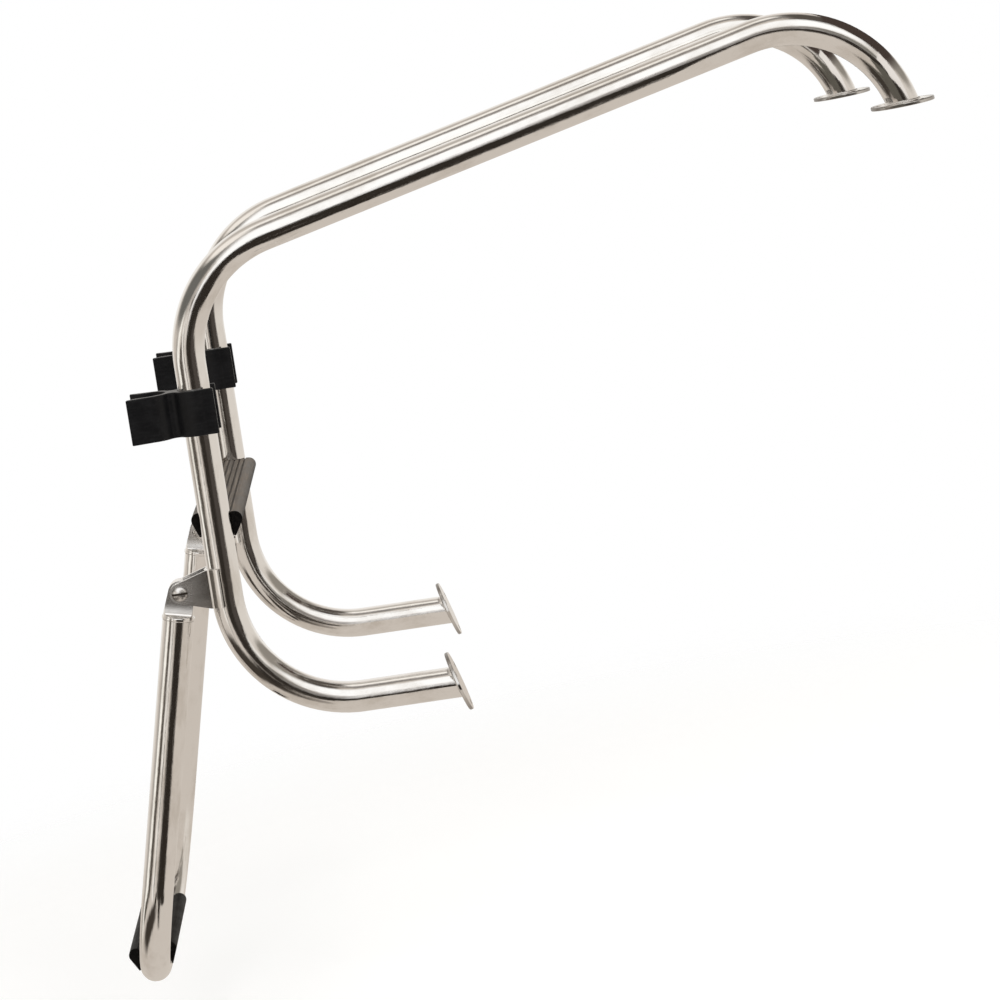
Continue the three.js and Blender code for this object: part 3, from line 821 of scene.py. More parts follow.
def rim_painted_reflection(p):
    """Painted dark reflection on the rim, which also blurs it, fading in across the face and darkest at the
    two ends along X.
    """
    if p.z < 0.1:  # the face that lies on the boat gets no painted reflection
        return 0
    radius = math.hypot(p.x, p.y)
    end = abs(p.x) / max(radius, 1)
    return (radius - REFLECTION_FADE_RINGS[-1]) / (PAD_RADIUS - REFLECTION_FADE_RINGS[-1]) * (0.2 + 0.6 * end**2)


def pad():
    profile = [(0, 0), (PAD_RADIUS - PAD_CHAMFER, 0), (PAD_RADIUS, PAD_CHAMFER)]
    profile += arc(PAD_RADIUS - PAD_RIM, PAD_HEIGHT - PAD_RIM, PAD_RIM, 0, math.pi / 2)
    profile += [(radius, PAD_HEIGHT) for radius in (*REFLECTION_FADE_RINGS, 0)]
    disc = turned("pad", profile, PAD_STEPS)
    holes = []
    for i in range(HOLE_COUNT):
        angle = 2 * math.pi * (i + 0.5) / HOLE_COUNT
        x, y = math.cos(angle) * HOLE_CIRCLE * MM, math.sin(angle) * HOLE_CIRCLE * MM
        holes.append(move(turned("hole", HOLE_PROFILE, steps=32), Matrix.Translation((x, y, 0))))
    combine(disc, "DIFFERENCE", *holes)
    mark(disc, "painted_shade_and_reflection", rim_painted_reflection)
    shade(disc, sharper_than=32)
    return disc


def pad_place(where, sign):
    """Flat on the deck, or against the transom."""
    shift = Vector((0, sign * RAIL_PLACE, 0))
    if where == "deck":
        return Matrix.Translation(shift)
    back = transom_face - transom_normal * PAD_THICKNESS + shift
    return Matrix.Translation(back) @ Matrix.Rotation(-math.radians(90 + transom_lean), 4, "Y")


pad_shape = pad()
for side_name, sign in SIDES:
    for where in ("deck", "transom"):
        made = copy_of(pad_shape, f"steel_{where}_pad_{side_name}", pad_place(where, sign))
        dress(made, "rail_frame", "stainless", turned_steel, f"{where}_pad_{side_name}")
bpy.data.objects.remove(pad_shape)
print("pad points:", len(made.data.vertices))

# %% [markdown]
# ## Weld beads
# A weld bead follows the joint between two parts and is built from overlapping ripples. A tree sweeps a
# small circle along the joint and swells it in even waves, so the bead is one closed surface.

# %% Weld beads
BEAD_RADIUS, RIPPLE_LENGTH, RIPPLE_DEPTH = 1.0 * MM, 1.3 * MM, 0.07  # the depth is a share of the radius
POINTS_PER_RIPPLE, BEAD_FACETS, BEAD_OUT = 5.0, 10, 0.35 * MM


def weld_tree():
    """A bead swept along a line, with a ripple every so often."""
    tree, given, out = geometry_tree(
        "weld_bead",
        [
            ("Bead Radius", "NodeSocketFloat"),
            ("Ripple Length", "NodeSocketFloat"),
            ("Ripple Depth", "NodeSocketFloat"),
            ("Finish", "NodeSocketMaterial"),
        ],
    )
    curve = wire(tree, "GeometryNodeMeshToCurve", Mesh=given["Geometry"])
    step = math_node(tree, "DIVIDE", given["Ripple Length"], POINTS_PER_RIPPLE)
    even = wire(tree, "GeometryNodeResampleCurve", {"mode": "LENGTH"}, Curve=curve.outputs[0], Length=step)
    place = wire(tree, "GeometryNodeSplineParameter")
    turns = math_node(tree, "DIVIDE", place.outputs["Length"], given["Ripple Length"])
    wave = math_node(tree, "SINE", math_node(tree, "MULTIPLY", turns, 2 * math.pi))
    swell = math_node(tree, "MULTIPLY_ADD", wave, given["Ripple Depth"], 1.0)
    circle = wire(
        tree, "GeometryNodeCurvePrimitiveCircle", Resolution=BEAD_FACETS, Radius=given["Bead Radius"]
    )
    swept = wire(
        tree,
        "GeometryNodeCurveToMesh",
        Curve=even.outputs[0],
        Profile_Curve=circle.outputs[0],
        Scale=swell,
        Fill_Caps=True,
    )
    solid = wire(tree, "GeometryNodeRealizeInstances", Geometry=swept.outputs[0])
    finished = wire(tree, "GeometryNodeSetMaterial", Geometry=solid.outputs[0], Material=given["Finish"])
    tree.links.new(finished.outputs[0], out["Geometry"])
    return tree


weld_bead_tree = weld_tree()


def weld(name, points, closed):
    """A weld bead along some points, dressed as part of the frame. It stands for no solid."""
    made = through_tree(
        polyline(name, points, closed),
        weld_bead_tree,
        Bead_Radius=BEAD_RADIUS,
        Ripple_Length=RIPPLE_LENGTH,
        Ripple_Depth=RIPPLE_DEPTH,
        Finish=weld_steel,
    )
    face_outwards(made, merge=False)
    made.data.shade_smooth()
    return dress(made, "rail_frame", "stainless", weld_steel)


def ring_on_plane(centre, direction, normal, radius, count=72):
    """Where a tube of some radius meets a plane through the centre point."""
    side = Vector((0, 1, 0))
    other = direction.cross(side)
    points = []
    for i in range(count):
        angle = 2 * math.pi * i / count
        around = (side * math.cos(angle) + other * math.sin(angle)) * radius
        points.append(centre + around - direction * (around.dot(normal) / direction.dot(normal)))
    return points


ring_radius = TUBE_RADIUS + BEAD_OUT
pad_joints = {
    "deck": (Vector((0, 0, PAD_THICKNESS)), heading(90 + deck_lean), Vector((0, 0, 1))),
    "transom": (transom_face, heading(180 - arm_slope), transom_normal),
}
for side_name, sign in SIDES:
    shift = Vector((0, sign * RAIL_PLACE, 0))
    for where, (centre, direction, normal) in pad_joints.items():
        ring = ring_on_plane(centre + shift, direction, normal, ring_radius)
        weld(f"weld_{where}_{side_name}", ring, closed=True)
print("welds round the pads:", len(pad_joints) * len(SIDES))

# %% [markdown]
# ## The treads
# Both steps are one moulded profile, cut to length: a flat top with six grooves, round shoulders, and
# flanks that close on the tube. The upper one is notched round the rails, the lower one round the bottom
# tube, which a boolean with a slightly fatter tube gives.

# %% Treads
TREAD_HALF, TREAD_RISE, TREAD_SHOULDER = 20.22, 20.5, 6.0
TREAD_LIP = (14.5, 1.0)
GROOVE_COUNT, GROOVE_PITCH, GROOVE_WIDTH, GROOVE_DEPTH = 6, 4.4, 1.5, 0.7
RIDGE_SHEEN_DEPTH, SHOULDER_SHEEN_DEPTH = 1.2, 6.0  # how far down from the top the painted sheen and wear reach, on ridges and on shoulders
CUT_END = 0.01  # points this near to the end's plane are on the cut face
TREAD_ROUNDING = 0.35
TUBE_SEAT, RAIL_SEAT = 12.9, 13.0  # radii that are cut to fit a tube


def tread_outline():
    """The section of a step, with its grooves."""
    x, y = TREAD_HALF - TREAD_SHOULDER, TREAD_RISE - TREAD_SHOULDER
    touch = touch_angle(TREAD_LIP[0] - x, TREAD_LIP[1] - y, TREAD_SHOULDER, 1)
    points = [TREAD_LIP, (-TREAD_LIP[0], TREAD_LIP[1])]
    points += arc(-x, y, TREAD_SHOULDER, math.pi - touch, math.pi / 2)
    for i in range(GROOVE_COUNT):
        middle = (i - (GROOVE_COUNT - 1) / 2) * GROOVE_PITCH
        for offset, depth in ((-1, 0), (-1, GROOVE_DEPTH), (1, GROOVE_DEPTH), (1, 0)):
            points.append((middle + offset * GROOVE_WIDTH / 2, TREAD_RISE - depth))
    return points + arc(x, y, TREAD_SHOULDER, math.pi / 2, touch)


def tread(name, length, cutters, matrix, sheen_strength):
    """A step of some length, cut to fit its tubes and put in its place."""
    made = plate(name, tread_outline(), length, "XZ")
    combine(made, "DIFFERENCE", *cutters)
    round_edges(made, TREAD_ROUNDING)

    def painted_top_sheen(p):
        """Painted sheen, with wear, on the ridges and shoulders that face the light; none on the two cut
        ends, which stay dark as faces in shade.
        """
        if abs(p.y) > length / 2 - CUT_END:
            return 0
        reach = SHOULDER_SHEEN_DEPTH if abs(p.x) > TREAD_HALF - TREAD_SHOULDER else RIDGE_SHEEN_DEPTH
        return sheen_strength * (1 - (TREAD_RISE - p.z) / reach)

    mark(made, "painted_sheen_and_wear", painted_top_sheen)
    return move(made, matrix)


RUNG_DROP = 214.2 * MM
UPPER_TREAD_LENGTH, LOWER_TREAD_LENGTH = 277, 132
# how strong the painted sheen and wear are on the upper and the lower step
UPPER_TREAD_SHEEN, LOWER_TREAD_SHEEN = 1.0, 0.15
FAT_TUBE_REACH = 0.316  # up from the bottom tube, far enough to clear the lower step
upper_lean = math.radians(9)
rung_place = riser_frame @ Matrix.Translation((0, 0, -RUNG_DROP))
upper_place = rung_place @ Matrix.Rotation(upper_lean - RISER_LEAN, 4, "Y")
rail_tilt = Matrix.Rotation(RISER_LEAN - upper_lean, 4, "Y")
upper_cutters = [rod(TUBE_SEAT, 300, "Y")]
for _, sign in SIDES:
    rail_cutter = rod(RAIL_SEAT, 100, "Z")
    upper_cutters.append(move(rail_cutter, Matrix.Translation((0, sign * RAIL_PLACE, 0)) @ rail_tilt))
upper_tread = tread("upper_step", UPPER_TREAD_LENGTH, upper_cutters, upper_place, UPPER_TREAD_SHEEN)
dress(upper_tread, "rail_frame", "black_plastic", tread_plastic, "upper_tread")

lower_place = legs_frame @ Matrix.Translation((0, 0, -LEG_LENGTH)) @ Matrix.Rotation(-LEG_LEAN, 4, "Y")
fat_turns = ((-1, FAT_TUBE_REACH), (-1, 0), (1, 0), (1, FAT_TUBE_REACH))
fat_corners = [Vector((0, sign * RAIL_PLACE, height)) for sign, height in fat_turns]
fat_tube = swept_tube("cutter", fat_corners, TUBE_SEAT * MM)
move(fat_tube, Matrix.Rotation(LEG_LEAN, 4, "Y"))
lower_tread = tread("lower_step", LOWER_TREAD_LENGTH, [fat_tube], lower_place, LOWER_TREAD_SHEEN)
dress(lower_tread, "lower_section", "black_plastic", tread_plastic, "lower_tread")
print("tread points:", len(upper_tread.data.vertices), len(lower_tread.data.vertices))

# %% [markdown]
# ## The upper rung
# The rung is a straight tube between the rails. Each end is coped, which means that it is cut to the shape
# of the rail that it meets, and then welded under the step. A cutter a little thinner than the rail lets
# the rung sink into it, and a block takes away the slivers that would be left inside the rail.

# %% Upper rung
RUNG_RADIUS, RUNG_LENGTH, RUNG_FACETS, COPE_RADIUS = 12.62, 280, 64, 12.5
INSIDE_HALF, INSIDE_REACH = 4, 20  # of the block that clears the middle of each rail
BEAD_START, BEAD_SWEEP, BEAD_STEPS = 98, 164, 32  # round the rung's underside, in degrees
BEAD_SWELL, BEAD_GAP = 1.02, 0.5 * MM  # so that the bead stands on both tubes' faces

rung = rod(RUNG_RADIUS, RUNG_LENGTH, "Y", RUNG_FACETS)
rung_cutters = []
for _, sign in SIDES:
    rung_cutters.append(move(rod(COPE_RADIUS, 100, "Z"), Matrix.Translation((0, sign * RAIL_PLACE, 0))))
for _, sign in SIDES:
    middle = sign * RUNG_LENGTH / 2
    low = (-INSIDE_REACH, middle - INSIDE_HALF, -INSIDE_REACH)
    rung_cutters.append(block(low, (INSIDE_REACH, middle + INSIDE_HALF, INSIDE_REACH)))
combine(rung, "DIFFERENCE", *rung_cutters)
rung.name = "steel_rung"
shade(rung, sharper_than=32)
move(rung, rung_place)
dress(rung, "rail_frame", "stainless", turned_steel, "upper_rung")
for side_name, sign in SIDES:
    points = []
    for i in range(BEAD_STEPS + 1):
        angle = math.radians(BEAD_START + BEAD_SWEEP * i / BEAD_STEPS)
        x, z = TUBE_RADIUS * math.sin(angle), TUBE_RADIUS * math.cos(angle)
        y = sign * (RAIL_PLACE - math.sqrt(max(0.0, TUBE_RADIUS**2 - x * x)) - BEAD_GAP)
        points.append(rung_place @ Vector((x * BEAD_SWELL, y, z * BEAD_SWELL)))
    weld(f"weld_rung_{side_name}", points, closed=False)
print("rung points:", len(rung.data.vertices))

# %% [markdown]
# ## Hinge brackets
# Each bracket is pressed from plate: a saddle welded round the riser, two ears for the pin and a stop
# between them. Its plan view and its side view are both simple outlines, so the solid is what the two
# extruded outlines have in common.

# %% Brackets
EAR_INNER, EAR_OUTER, EAR_RADIUS, EAR_FILLET = 8.0, 10.5, 8.0, 4.0
SADDLE_OUTER, SADDLE_INNER, SADDLE_HALF_HEIGHT, SADDLE_WRAP = 15.0, 12.8, 15.5, math.radians(80)
SADDLE_SHOULDER = 12.7  # from the riser's middle, where the plate starts to narrow towards the pin
STOP_TOP, STOP_FOOT, STOP_REACH, STOP_ROOT, STOP_WIDTH = -4.5, -10.5, 11.5, 14, 17
PIN_HOLE = 4.08
SATIN_START, SATIN_FADE = 11, 4  # the ears are satin, beyond the polished saddle
OFFSET = PIN_OFFSET / MM


def bracket_plan():
    """The bracket from above: a saddle round the riser, and two ears."""
    fillet_y = EAR_OUTER + EAR_FILLET
    fillet_x = OFFSET - math.sqrt((SADDLE_OUTER + EAR_FILLET) ** 2 - fillet_y**2)
    turn = math.atan2(fillet_y, OFFSET - fillet_x)
    inside = math.asin(EAR_INNER / SADDLE_OUTER)
    pi = math.pi
    points = [(-EAR_RADIUS, EAR_INNER), (-EAR_RADIUS, EAR_OUTER)]
    points += arc(fillet_x, fillet_y, EAR_FILLET, -pi / 2, -turn)
    points += arc(OFFSET, 0, SADDLE_OUTER, pi - turn, pi - SADDLE_WRAP)
    points += arc(OFFSET, 0, SADDLE_INNER, pi - SADDLE_WRAP, pi + SADDLE_WRAP)
    points += arc(OFFSET, 0, SADDLE_OUTER, pi + SADDLE_WRAP, pi + turn)
    points += arc(fillet_x, -fillet_y, EAR_FILLET, turn, pi / 2)
    points += [(-EAR_RADIUS, -EAR_OUTER), (-EAR_RADIUS, -EAR_INNER)]
    return points + arc(OFFSET, 0, SADDLE_OUTER, pi + inside, pi - inside)


def bracket_side():
    """The bracket from the side: it narrows to a round end about the pin."""
    shoulder = OFFSET - SADDLE_SHOULDER
    touch = touch_angle(shoulder, SADDLE_HALF_HEIGHT, EAR_RADIUS, 1)
    right = OFFSET + SADDLE_OUTER
    points = [(right, SADDLE_HALF_HEIGHT), (shoulder, SADDLE_HALF_HEIGHT)]
    points += arc(0, 0, EAR_RADIUS, touch, 2 * math.pi - touch)
    return points + [(shoulder, -SADDLE_HALF_HEIGHT), (right, -SADDLE_HALF_HEIGHT)]


def bracket():
    body = plate("bracket", bracket_plan(), 2 * SADDLE_HALF_HEIGHT, "XY")
    combine(body, "INTERSECT", plate("cutter", bracket_side(), 100, "XZ"))
    tilt = LEG_LEAN - RISER_LEAN
    back = OFFSET - STOP_ROOT
    heel = [((STOP_REACH + z * math.sin(tilt)) / math.cos(tilt), z) for z in (STOP_TOP, STOP_FOOT)]
    stop = plate("cutter", [heel[0], (back, STOP_TOP), (back, STOP_FOOT), heel[1]], STOP_WIDTH, "XZ")
    combine(body, "UNION", stop)
    combine(body, "DIFFERENCE", rod(PIN_HOLE, 60, "Y"))
    round_edges(body, width=0.6, segments=4)
    mark(body, "satin", lambda p: (OFFSET - SATIN_START - p.x) / SATIN_FADE)
    return body


bracket_shape = bracket()
for side_name, sign in SIDES:
    place = at_side(sign, riser_frame, -PIN_OFFSET, -PIN_DROP)
    made = copy_of(bracket_shape, f"steel_bracket_{side_name}", place)
    dress(made, "rail_frame", "stainless", bracket_steel, f"hinge_bracket_{side_name}")
bpy.data.objects.remove(bracket_shape)
print("bracket points:", len(made.data.vertices))

# %% [markdown]
# ## Pins, nuts and washers
# The pins are turned, with a domed and slotted head on the outside of the ladder, and each is held by a
# nut with a smooth collar. White nylon washers keep the ears off the legs.

# %% Pins, nuts and washers
HEAD_RADIUS, HEAD_HEIGHT, HEAD_CROWN, DOME_RADIUS, HEAD_STEP = 6.2, 3.0, 14.0, 5.6, 0.6
PIN_RADIUS, PIN_END, PIN_CHAMFER = 4.0, 18.5, 0.4
SLOT_HALF, SLOT_DEPTH = 0.9, 1.8
HEAD_TOP = -EAR_OUTER - HEAD_HEIGHT
NUT_FLATS, NUT_TOP, NUT_BORE = 13, 15.5, 4.05
COLLAR_RADIUS, COLLAR_TOP, COLLAR_CHAMFER = 5.8, 17.5, 0.6
WASHER_RADIUS, WASHER_HALF, WASHER_CHAMFER, WASHER_PLACE = 8, 0.5, 0.2, 7.5


def head_painted_shade(p):
    """Painted shade in the slot of a pin's head, and a little round the head's edge."""
    depth = p.y - HEAD_TOP
    in_slot = depth - 0.6 if abs(p.z) < SLOT_HALF + 0.1 and depth < SLOT_DEPTH + 0.2 else 0
    return max(in_slot, 0.5 * (math.hypot(p.x, p.z) - 4.6))


def pin():
    edge = math.asin(DOME_RADIUS / HEAD_CROWN)
    profile = arc(0, HEAD_TOP + HEAD_CROWN, HEAD_CROWN, -math.pi / 2, edge - math.pi / 2)
    profile[0] = (0, HEAD_TOP)
    profile += [
        (HEAD_RADIUS, profile[-1][1] + HEAD_STEP),
        (HEAD_RADIUS, -EAR_OUTER),
        (PIN_RADIUS, -EAR_OUTER),
        (PIN_RADIUS, PIN_END - PIN_CHAMFER),
        (PIN_RADIUS - PIN_CHAMFER, PIN_END),
        (0, PIN_END),
    ]
    made = turned("pin", profile, steps=64, axis="Y")
    slot = block((-10, HEAD_TOP - 1, -SLOT_HALF), (10, HEAD_TOP + SLOT_DEPTH, SLOT_HALF))
    combine(made, "DIFFERENCE", slot)
    round_edges(made, width=0.2, segments=2)
    mark(made, "painted_shade_and_reflection", head_painted_shade)
    mark(made, "satin", lambda p: 1)
    return made


def nut():
    corner = NUT_FLATS / math.sqrt(3)
    sides = [(0, EAR_OUTER), (corner, EAR_OUTER), (corner, NUT_TOP), (0, NUT_TOP)]
    hexagon = turned("nut", sides, steps=6, axis="Y")
    foot = EAR_OUTER + 0.1  # a little inside the hexagon
    collar = [(0, foot), (COLLAR_RADIUS, foot), (COLLAR_RADIUS, COLLAR_TOP - COLLAR_CHAMFER)]
    collar += [(COLLAR_RADIUS - COLLAR_CHAMFER, COLLAR_TOP), (0, COLLAR_TOP)]
    combine(hexagon, "UNION", turned("cutter", collar, steps=48, axis="Y"))
    combine(hexagon, "DIFFERENCE", rod(NUT_BORE, 60, "Y"))
    return round_edges(hexagon, width=0.35)


def washer():
    """A flat ring. Its profile comes back to where it started, so the two seams there are merged."""
    edge = WASHER_HALF - WASHER_CHAMFER
    outer = [(WASHER_RADIUS - WASHER_CHAMFER, -WASHER_HALF), (WASHER_RADIUS, -edge), (WASHER_RADIUS, edge)]
    outer.append((WASHER_RADIUS - WASHER_CHAMFER, WASHER_HALF))
    start = (PIN_HOLE, -WASHER_HALF)
    made = turned("washer", [start, *outer, (PIN_HOLE, WASHER_HALF), start], steps=64, axis="Y")
    face_outwards(made)
    shade(made, sharper_than=50)
    return made


pin_shape, nut_shape, washer_shape = pin(), nut(), washer()
for side_name, sign in SIDES:
    place = at_side(sign, riser_frame, -PIN_OFFSET, -PIN_DROP)
    turn = Matrix.Rotation(math.pi if sign > 0 else 0, 4, "Z")
    made = copy_of(pin_shape, f"steel_pin_{side_name}", place @ turn)
    dress(made, "rail_frame", "stainless", pressed_steel, f"hinge_pin_{side_name}")
    made = copy_of(nut_shape, f"steel_nut_{side_name}", place @ turn)
    dress(made, "rail_frame", "stainless", turned_steel, f"hinge_nut_{side_name}")
    for where, face in (("outer", sign), ("inner", -sign)):
        aside = place @ Matrix.Translation((0, face * WASHER_PLACE * MM, 0))
        made = copy_of(washer_shape, f"nylon_washer_{side_name}_{where}", aside)
        dress(made, "rail_frame", "nylon", washer_nylon, f"hinge_washer_{side_name}_{where}")
for shape in (pin_shape, nut_shape, washer_shape):
    bpy.data.objects.remove(shape)
print("pins, nuts and washers are in place")

# %% [markdown]
# ## Leg caps
# A cap plugs each leg's upper end. Above its round lip it narrows, through a hollow flare, to a flat eye
# that the pin goes through. The eye is what its side view, its front view and the lip's cylinder have in
# common.

# %% Leg caps
EYE_RADIUS, EYE_HALF, EYE_FOOT, EYE_ABOVE = 9.5, 6.9, -8, 12
CAP_SHOULDER, HEEL, HEEL_TOP = 12.4, 11.2, -2
LIP_DROP, LIP_RADIUS, LIP_FOOT, LIP_INSIDE = 19.5, 13.2, -22.5, -21
FLARE_HEIGHT, FLARE_NECK, FLARE_EDGE, FLARE_STEPS, NECK_STEPS = 3.5, 7.7, LIP_RADIUS - 0.8, 14, 8
PLUG_RADIUS, PLUG_FOOT = 11.25 * math.cos(math.pi / 12) - 0.3, -42
SATIN_FOOT = -16  # above it the eye is satin, below it the flare is polished


def cap_side():
    """The cap from the side: a round eye, a straight back and a heel."""
    start = touch_angle(-CAP_SHOULDER, -LIP_DROP, EYE_RADIUS, -1) + 2 * math.pi
    side = [(-CAP_SHOULDER, LIP_INSIDE), (-CAP_SHOULDER, -LIP_DROP)]
    side += arc(0, 0, EYE_RADIUS, start, touch_angle(HEEL, HEEL_TOP, EYE_RADIUS, 1))
    return side + [(HEEL, HEEL_TOP), (HEEL, LIP_INSIDE)]


def cap_front():
    """The cap from the front: a thin eye, which widens gently and then flares out to the lip."""
    front = [(-FLARE_EDGE, LIP_INSIDE)]
    for i in range(FLARE_STEPS):
        angle = math.radians(6 * i)
        out = FLARE_NECK + (FLARE_EDGE - FLARE_NECK) * (1 - math.sin(angle))
        front.append((-out, -LIP_DROP + FLARE_HEIGHT * (1 - math.cos(angle))))
    out, low = -front[-1][0], front[-1][1]
    for i in range(1, NECK_STEPS + 1):
        share = i / NECK_STEPS
        front.append((-EYE_HALF - (out - EYE_HALF) * (1 - share) ** 2, low + (EYE_FOOT - low) * share))
    front += [(-EYE_HALF, EYE_ABOVE), (EYE_HALF, EYE_ABOVE)]
    return front + [(-y, z) for y, z in reversed(front[:-2])]


def cap():
    made = plate("cap", cap_side(), 30, "XZ")
    combine(made, "INTERSECT", plate("cutter", cap_front(), 40, "YZ"))
    combine(made, "INTERSECT", rod(LIP_RADIUS - 0.02, 80, "Z"))
    lip = [(0, PLUG_FOOT), (PLUG_RADIUS, PLUG_FOOT), (PLUG_RADIUS, LIP_FOOT)]
    lip += [(LIP_RADIUS - 0.5, LIP_FOOT), (LIP_RADIUS, LIP_FOOT + 0.5), (LIP_RADIUS, -LIP_DROP - 1)]
    lip += arc(LIP_RADIUS - 1, -LIP_DROP - 1, 1, 0, math.pi / 2)[1:] + [(0, -LIP_DROP)]
    combine(made, "UNION", turned("cutter", lip, steps=72))
    combine(made, "DIFFERENCE", rod(PIN_HOLE, 60, "Y"))
    round_edges(made, width=0.5, sharper_than=40)
    mark(made, "satin", lambda p: (p.z - SATIN_FOOT) / SATIN_FADE)
    return made


cap_shape = cap()
for side_name, sign in SIDES:
    made = copy_of(cap_shape, f"steel_cap_{side_name}", at_side(sign, legs_frame))
    dress(made, "lower_section", "stainless", pressed_steel, f"leg_cap_{side_name}")
bpy.data.objects.remove(cap_shape)
print("cap points:", len(made.data.vertices))

# %% [markdown]
# ## Clips
# A clip is a strip of rubber moulded into two open rings back to back: one grips the rail, the other
# takes the leg when the lower section is folded up. Its outline is one closed line of arcs.

# %% Clips
CLIP_SEAT, CLIP_WALL, CLIP_WAIST, CLIP_GRIP = 13.0, 4.6, 8.5, math.radians(115)
CLIP_LIP_REACH, CLIP_LIP_GAP, CLIP_LIP_WALL, CLIP_HEIGHT = 15.5, 12.8, 3.6, 36
MOUTH_REACH, MOUTH_STRAIGHT, MOUTH_FLARE, MOUTH_WALL = 16.5, 9.0, 4.2, 3.6
CLIP_DROP = 111.5 * MM
CLIP_ROUNDING, CLIP_SHEEN_EDGE = 0.9, 1.2


def clip_outline():
    """The clip from above: a ring that grips the rail, and an open mouth for the leg."""
    pi = math.pi
    outer, half = CLIP_SEAT + CLIP_WALL, OFFSET / 2
    fillet = (half**2 + CLIP_WAIST**2 - outer**2) / (2 * (outer - CLIP_WAIST))
    centre = CLIP_WAIST + fillet
    waist = math.atan2(centre, half)
    tip = -(OFFSET + MOUTH_REACH)
    straight = -(OFFSET + MOUTH_STRAIGHT)
    tip_inner = CLIP_SEAT + MOUTH_FLARE
    tip_outer = tip_inner + MOUTH_WALL
    right = pi - CLIP_GRIP
    upper = [(CLIP_LIP_REACH, CLIP_LIP_GAP), (CLIP_LIP_REACH, CLIP_LIP_GAP + CLIP_LIP_WALL)]
    upper += arc(0, 0, outer, right, pi - waist)
    upper += arc(-half, centre, fillet, -waist, waist - pi)
    upper += arc(-OFFSET, 0, outer, waist, pi / 2)
    upper += [(tip, tip_outer), (tip, tip_inner), (straight, CLIP_SEAT)]
    lower = [(x, -y) for x, y in reversed(upper)]
    points = upper + arc(-OFFSET, 0, CLIP_SEAT, pi / 2, -pi / 2) + lower
    return points + arc(0, 0, CLIP_SEAT, -right, right - 2 * pi)


def clip():
    made = plate("clip", clip_outline(), CLIP_HEIGHT, "XY")
    round_edges(made, CLIP_ROUNDING, segments=4)
    # painted highlight, with wear, along the clip's top and bottom rims
    mark(made, "painted_sheen_and_wear", lambda p: 1 - (CLIP_HEIGHT / 2 - abs(p.z)) / CLIP_SHEEN_EDGE)
    return made


clip_shape = clip()
for side_name, sign in SIDES:
    made = copy_of(clip_shape, f"rubber_clip_{side_name}", at_side(sign, riser_frame, 0, -CLIP_DROP))
    dress(made, "rail_frame", "black_rubber", clip_rubber, f"clip_{side_name}")
bpy.data.objects.remove(clip_shape)
print("clip points:", len(made.data.vertices))

# %% [markdown]
# ## The studio
# Polished steel shows what stands round it, so the studio is part of the finish. A world of soft panels,
# placed by direction, stands for a big soft box above the camera, a white backdrop behind, a pale floor
# below and the darker parts of a room. An image of a studio would do the same, but panels need no file and
# each can be moved on its own. Only reflections see them: the camera sees plain white, and matt surfaces
# are lit by an even glow. A panel is a colour, then an azimuth, an elevation and two half sizes in degrees,
# then a softness and a slant. Later panels lie over earlier ones.

# %% Studio tools
PANEL_POWER = 3.0  # 2 would give ellipses, and more gives squarer corners
STRIP_FADE = (0.35, 0.75)  # how far to the side a strip fades out, 1 being square to the view


def panel(tree, placed, below, colour, azimuth, elevation, half_width, half_height, soft, slant=0.0):
    """A soft-edged panel over what is below it. Azimuth 0 is the camera's side, and 90 the deck's side."""
    upward = math_node(tree, "SUBTRACT", placed["elevation"], elevation)
    across = math_node(tree, "SUBTRACT", placed["azimuth"], azimuth)
    across = math_node(tree, "MULTIPLY_ADD", upward, -slant, across)
    across = math_node(tree, "WRAP", across, 180.0, -180.0)
    across = math_node(tree, "DIVIDE", across, half_width)
    upward = math_node(tree, "DIVIDE", upward, half_height)
    total = math_node(
        tree,
        "ADD",
        math_node(tree, "POWER", math_node(tree, "ABSOLUTE", across), PANEL_POWER),
        math_node(tree, "POWER", math_node(tree, "ABSOLUTE", upward), PANEL_POWER),
    )
    reach = math_node(tree, "POWER", total, 1 / PANEL_POWER)
    mask = math_node(tree, "SUBTRACT", 1.0, ramp_node(tree, reach, 1 - soft, 1 + soft))
    return mix_colour(tree, mask, below, linear(*colour))


def strip(tree, placed, below, colour, angle, half_width, soft, slant=0.0):
    """A long band overhead, across the view. Its angle is 0 at the camera, 90 overhead and 180 behind."""
    middle = math_node(tree, "MULTIPLY_ADD", placed["x"], slant, angle)
    away = math_node(tree, "ABSOLUTE", math_node(tree, "SUBTRACT", placed["over"], middle))
    mask = math_node(tree, "SUBTRACT", 1.0, ramp_node(tree, away, half_width - soft, half_width + soft))
    side = math_node(tree, "ABSOLUTE", placed["x"])
    inner = math_node(tree, "SUBTRACT", 1.0, ramp_node(tree, side, *STRIP_FADE))
    mask = math_node(tree, "MULTIPLY", mask, inner)
    return mix_colour(tree, mask, below, linear(*colour))


def directions(tree):
    """Azimuth, elevation and the angle overhead of each direction, in degrees."""
    vector = tree.nodes.new("ShaderNodeTexCoord").outputs["Generated"]
    split = tree.nodes.new("ShaderNodeSeparateXYZ")
    tree.links.new(vector, split.inputs[0])
    x, y, z = split.outputs
    front = math_node(tree, "MULTIPLY", y, -1.0)
    degrees = 180 / math.pi
    azimuth = math_node(tree, "MULTIPLY", math_node(tree, "ARCTAN2", x, front), degrees)
    over = math_node(tree, "MULTIPLY", math_node(tree, "ARCTAN2", z, front), degrees)
    elevation = math_node(tree, "MULTIPLY", math_node(tree, "ARCSINE", z), degrees)
    return {"azimuth": azimuth, "elevation": elevation, "over": over, "x": x}


print("studio tools ready")

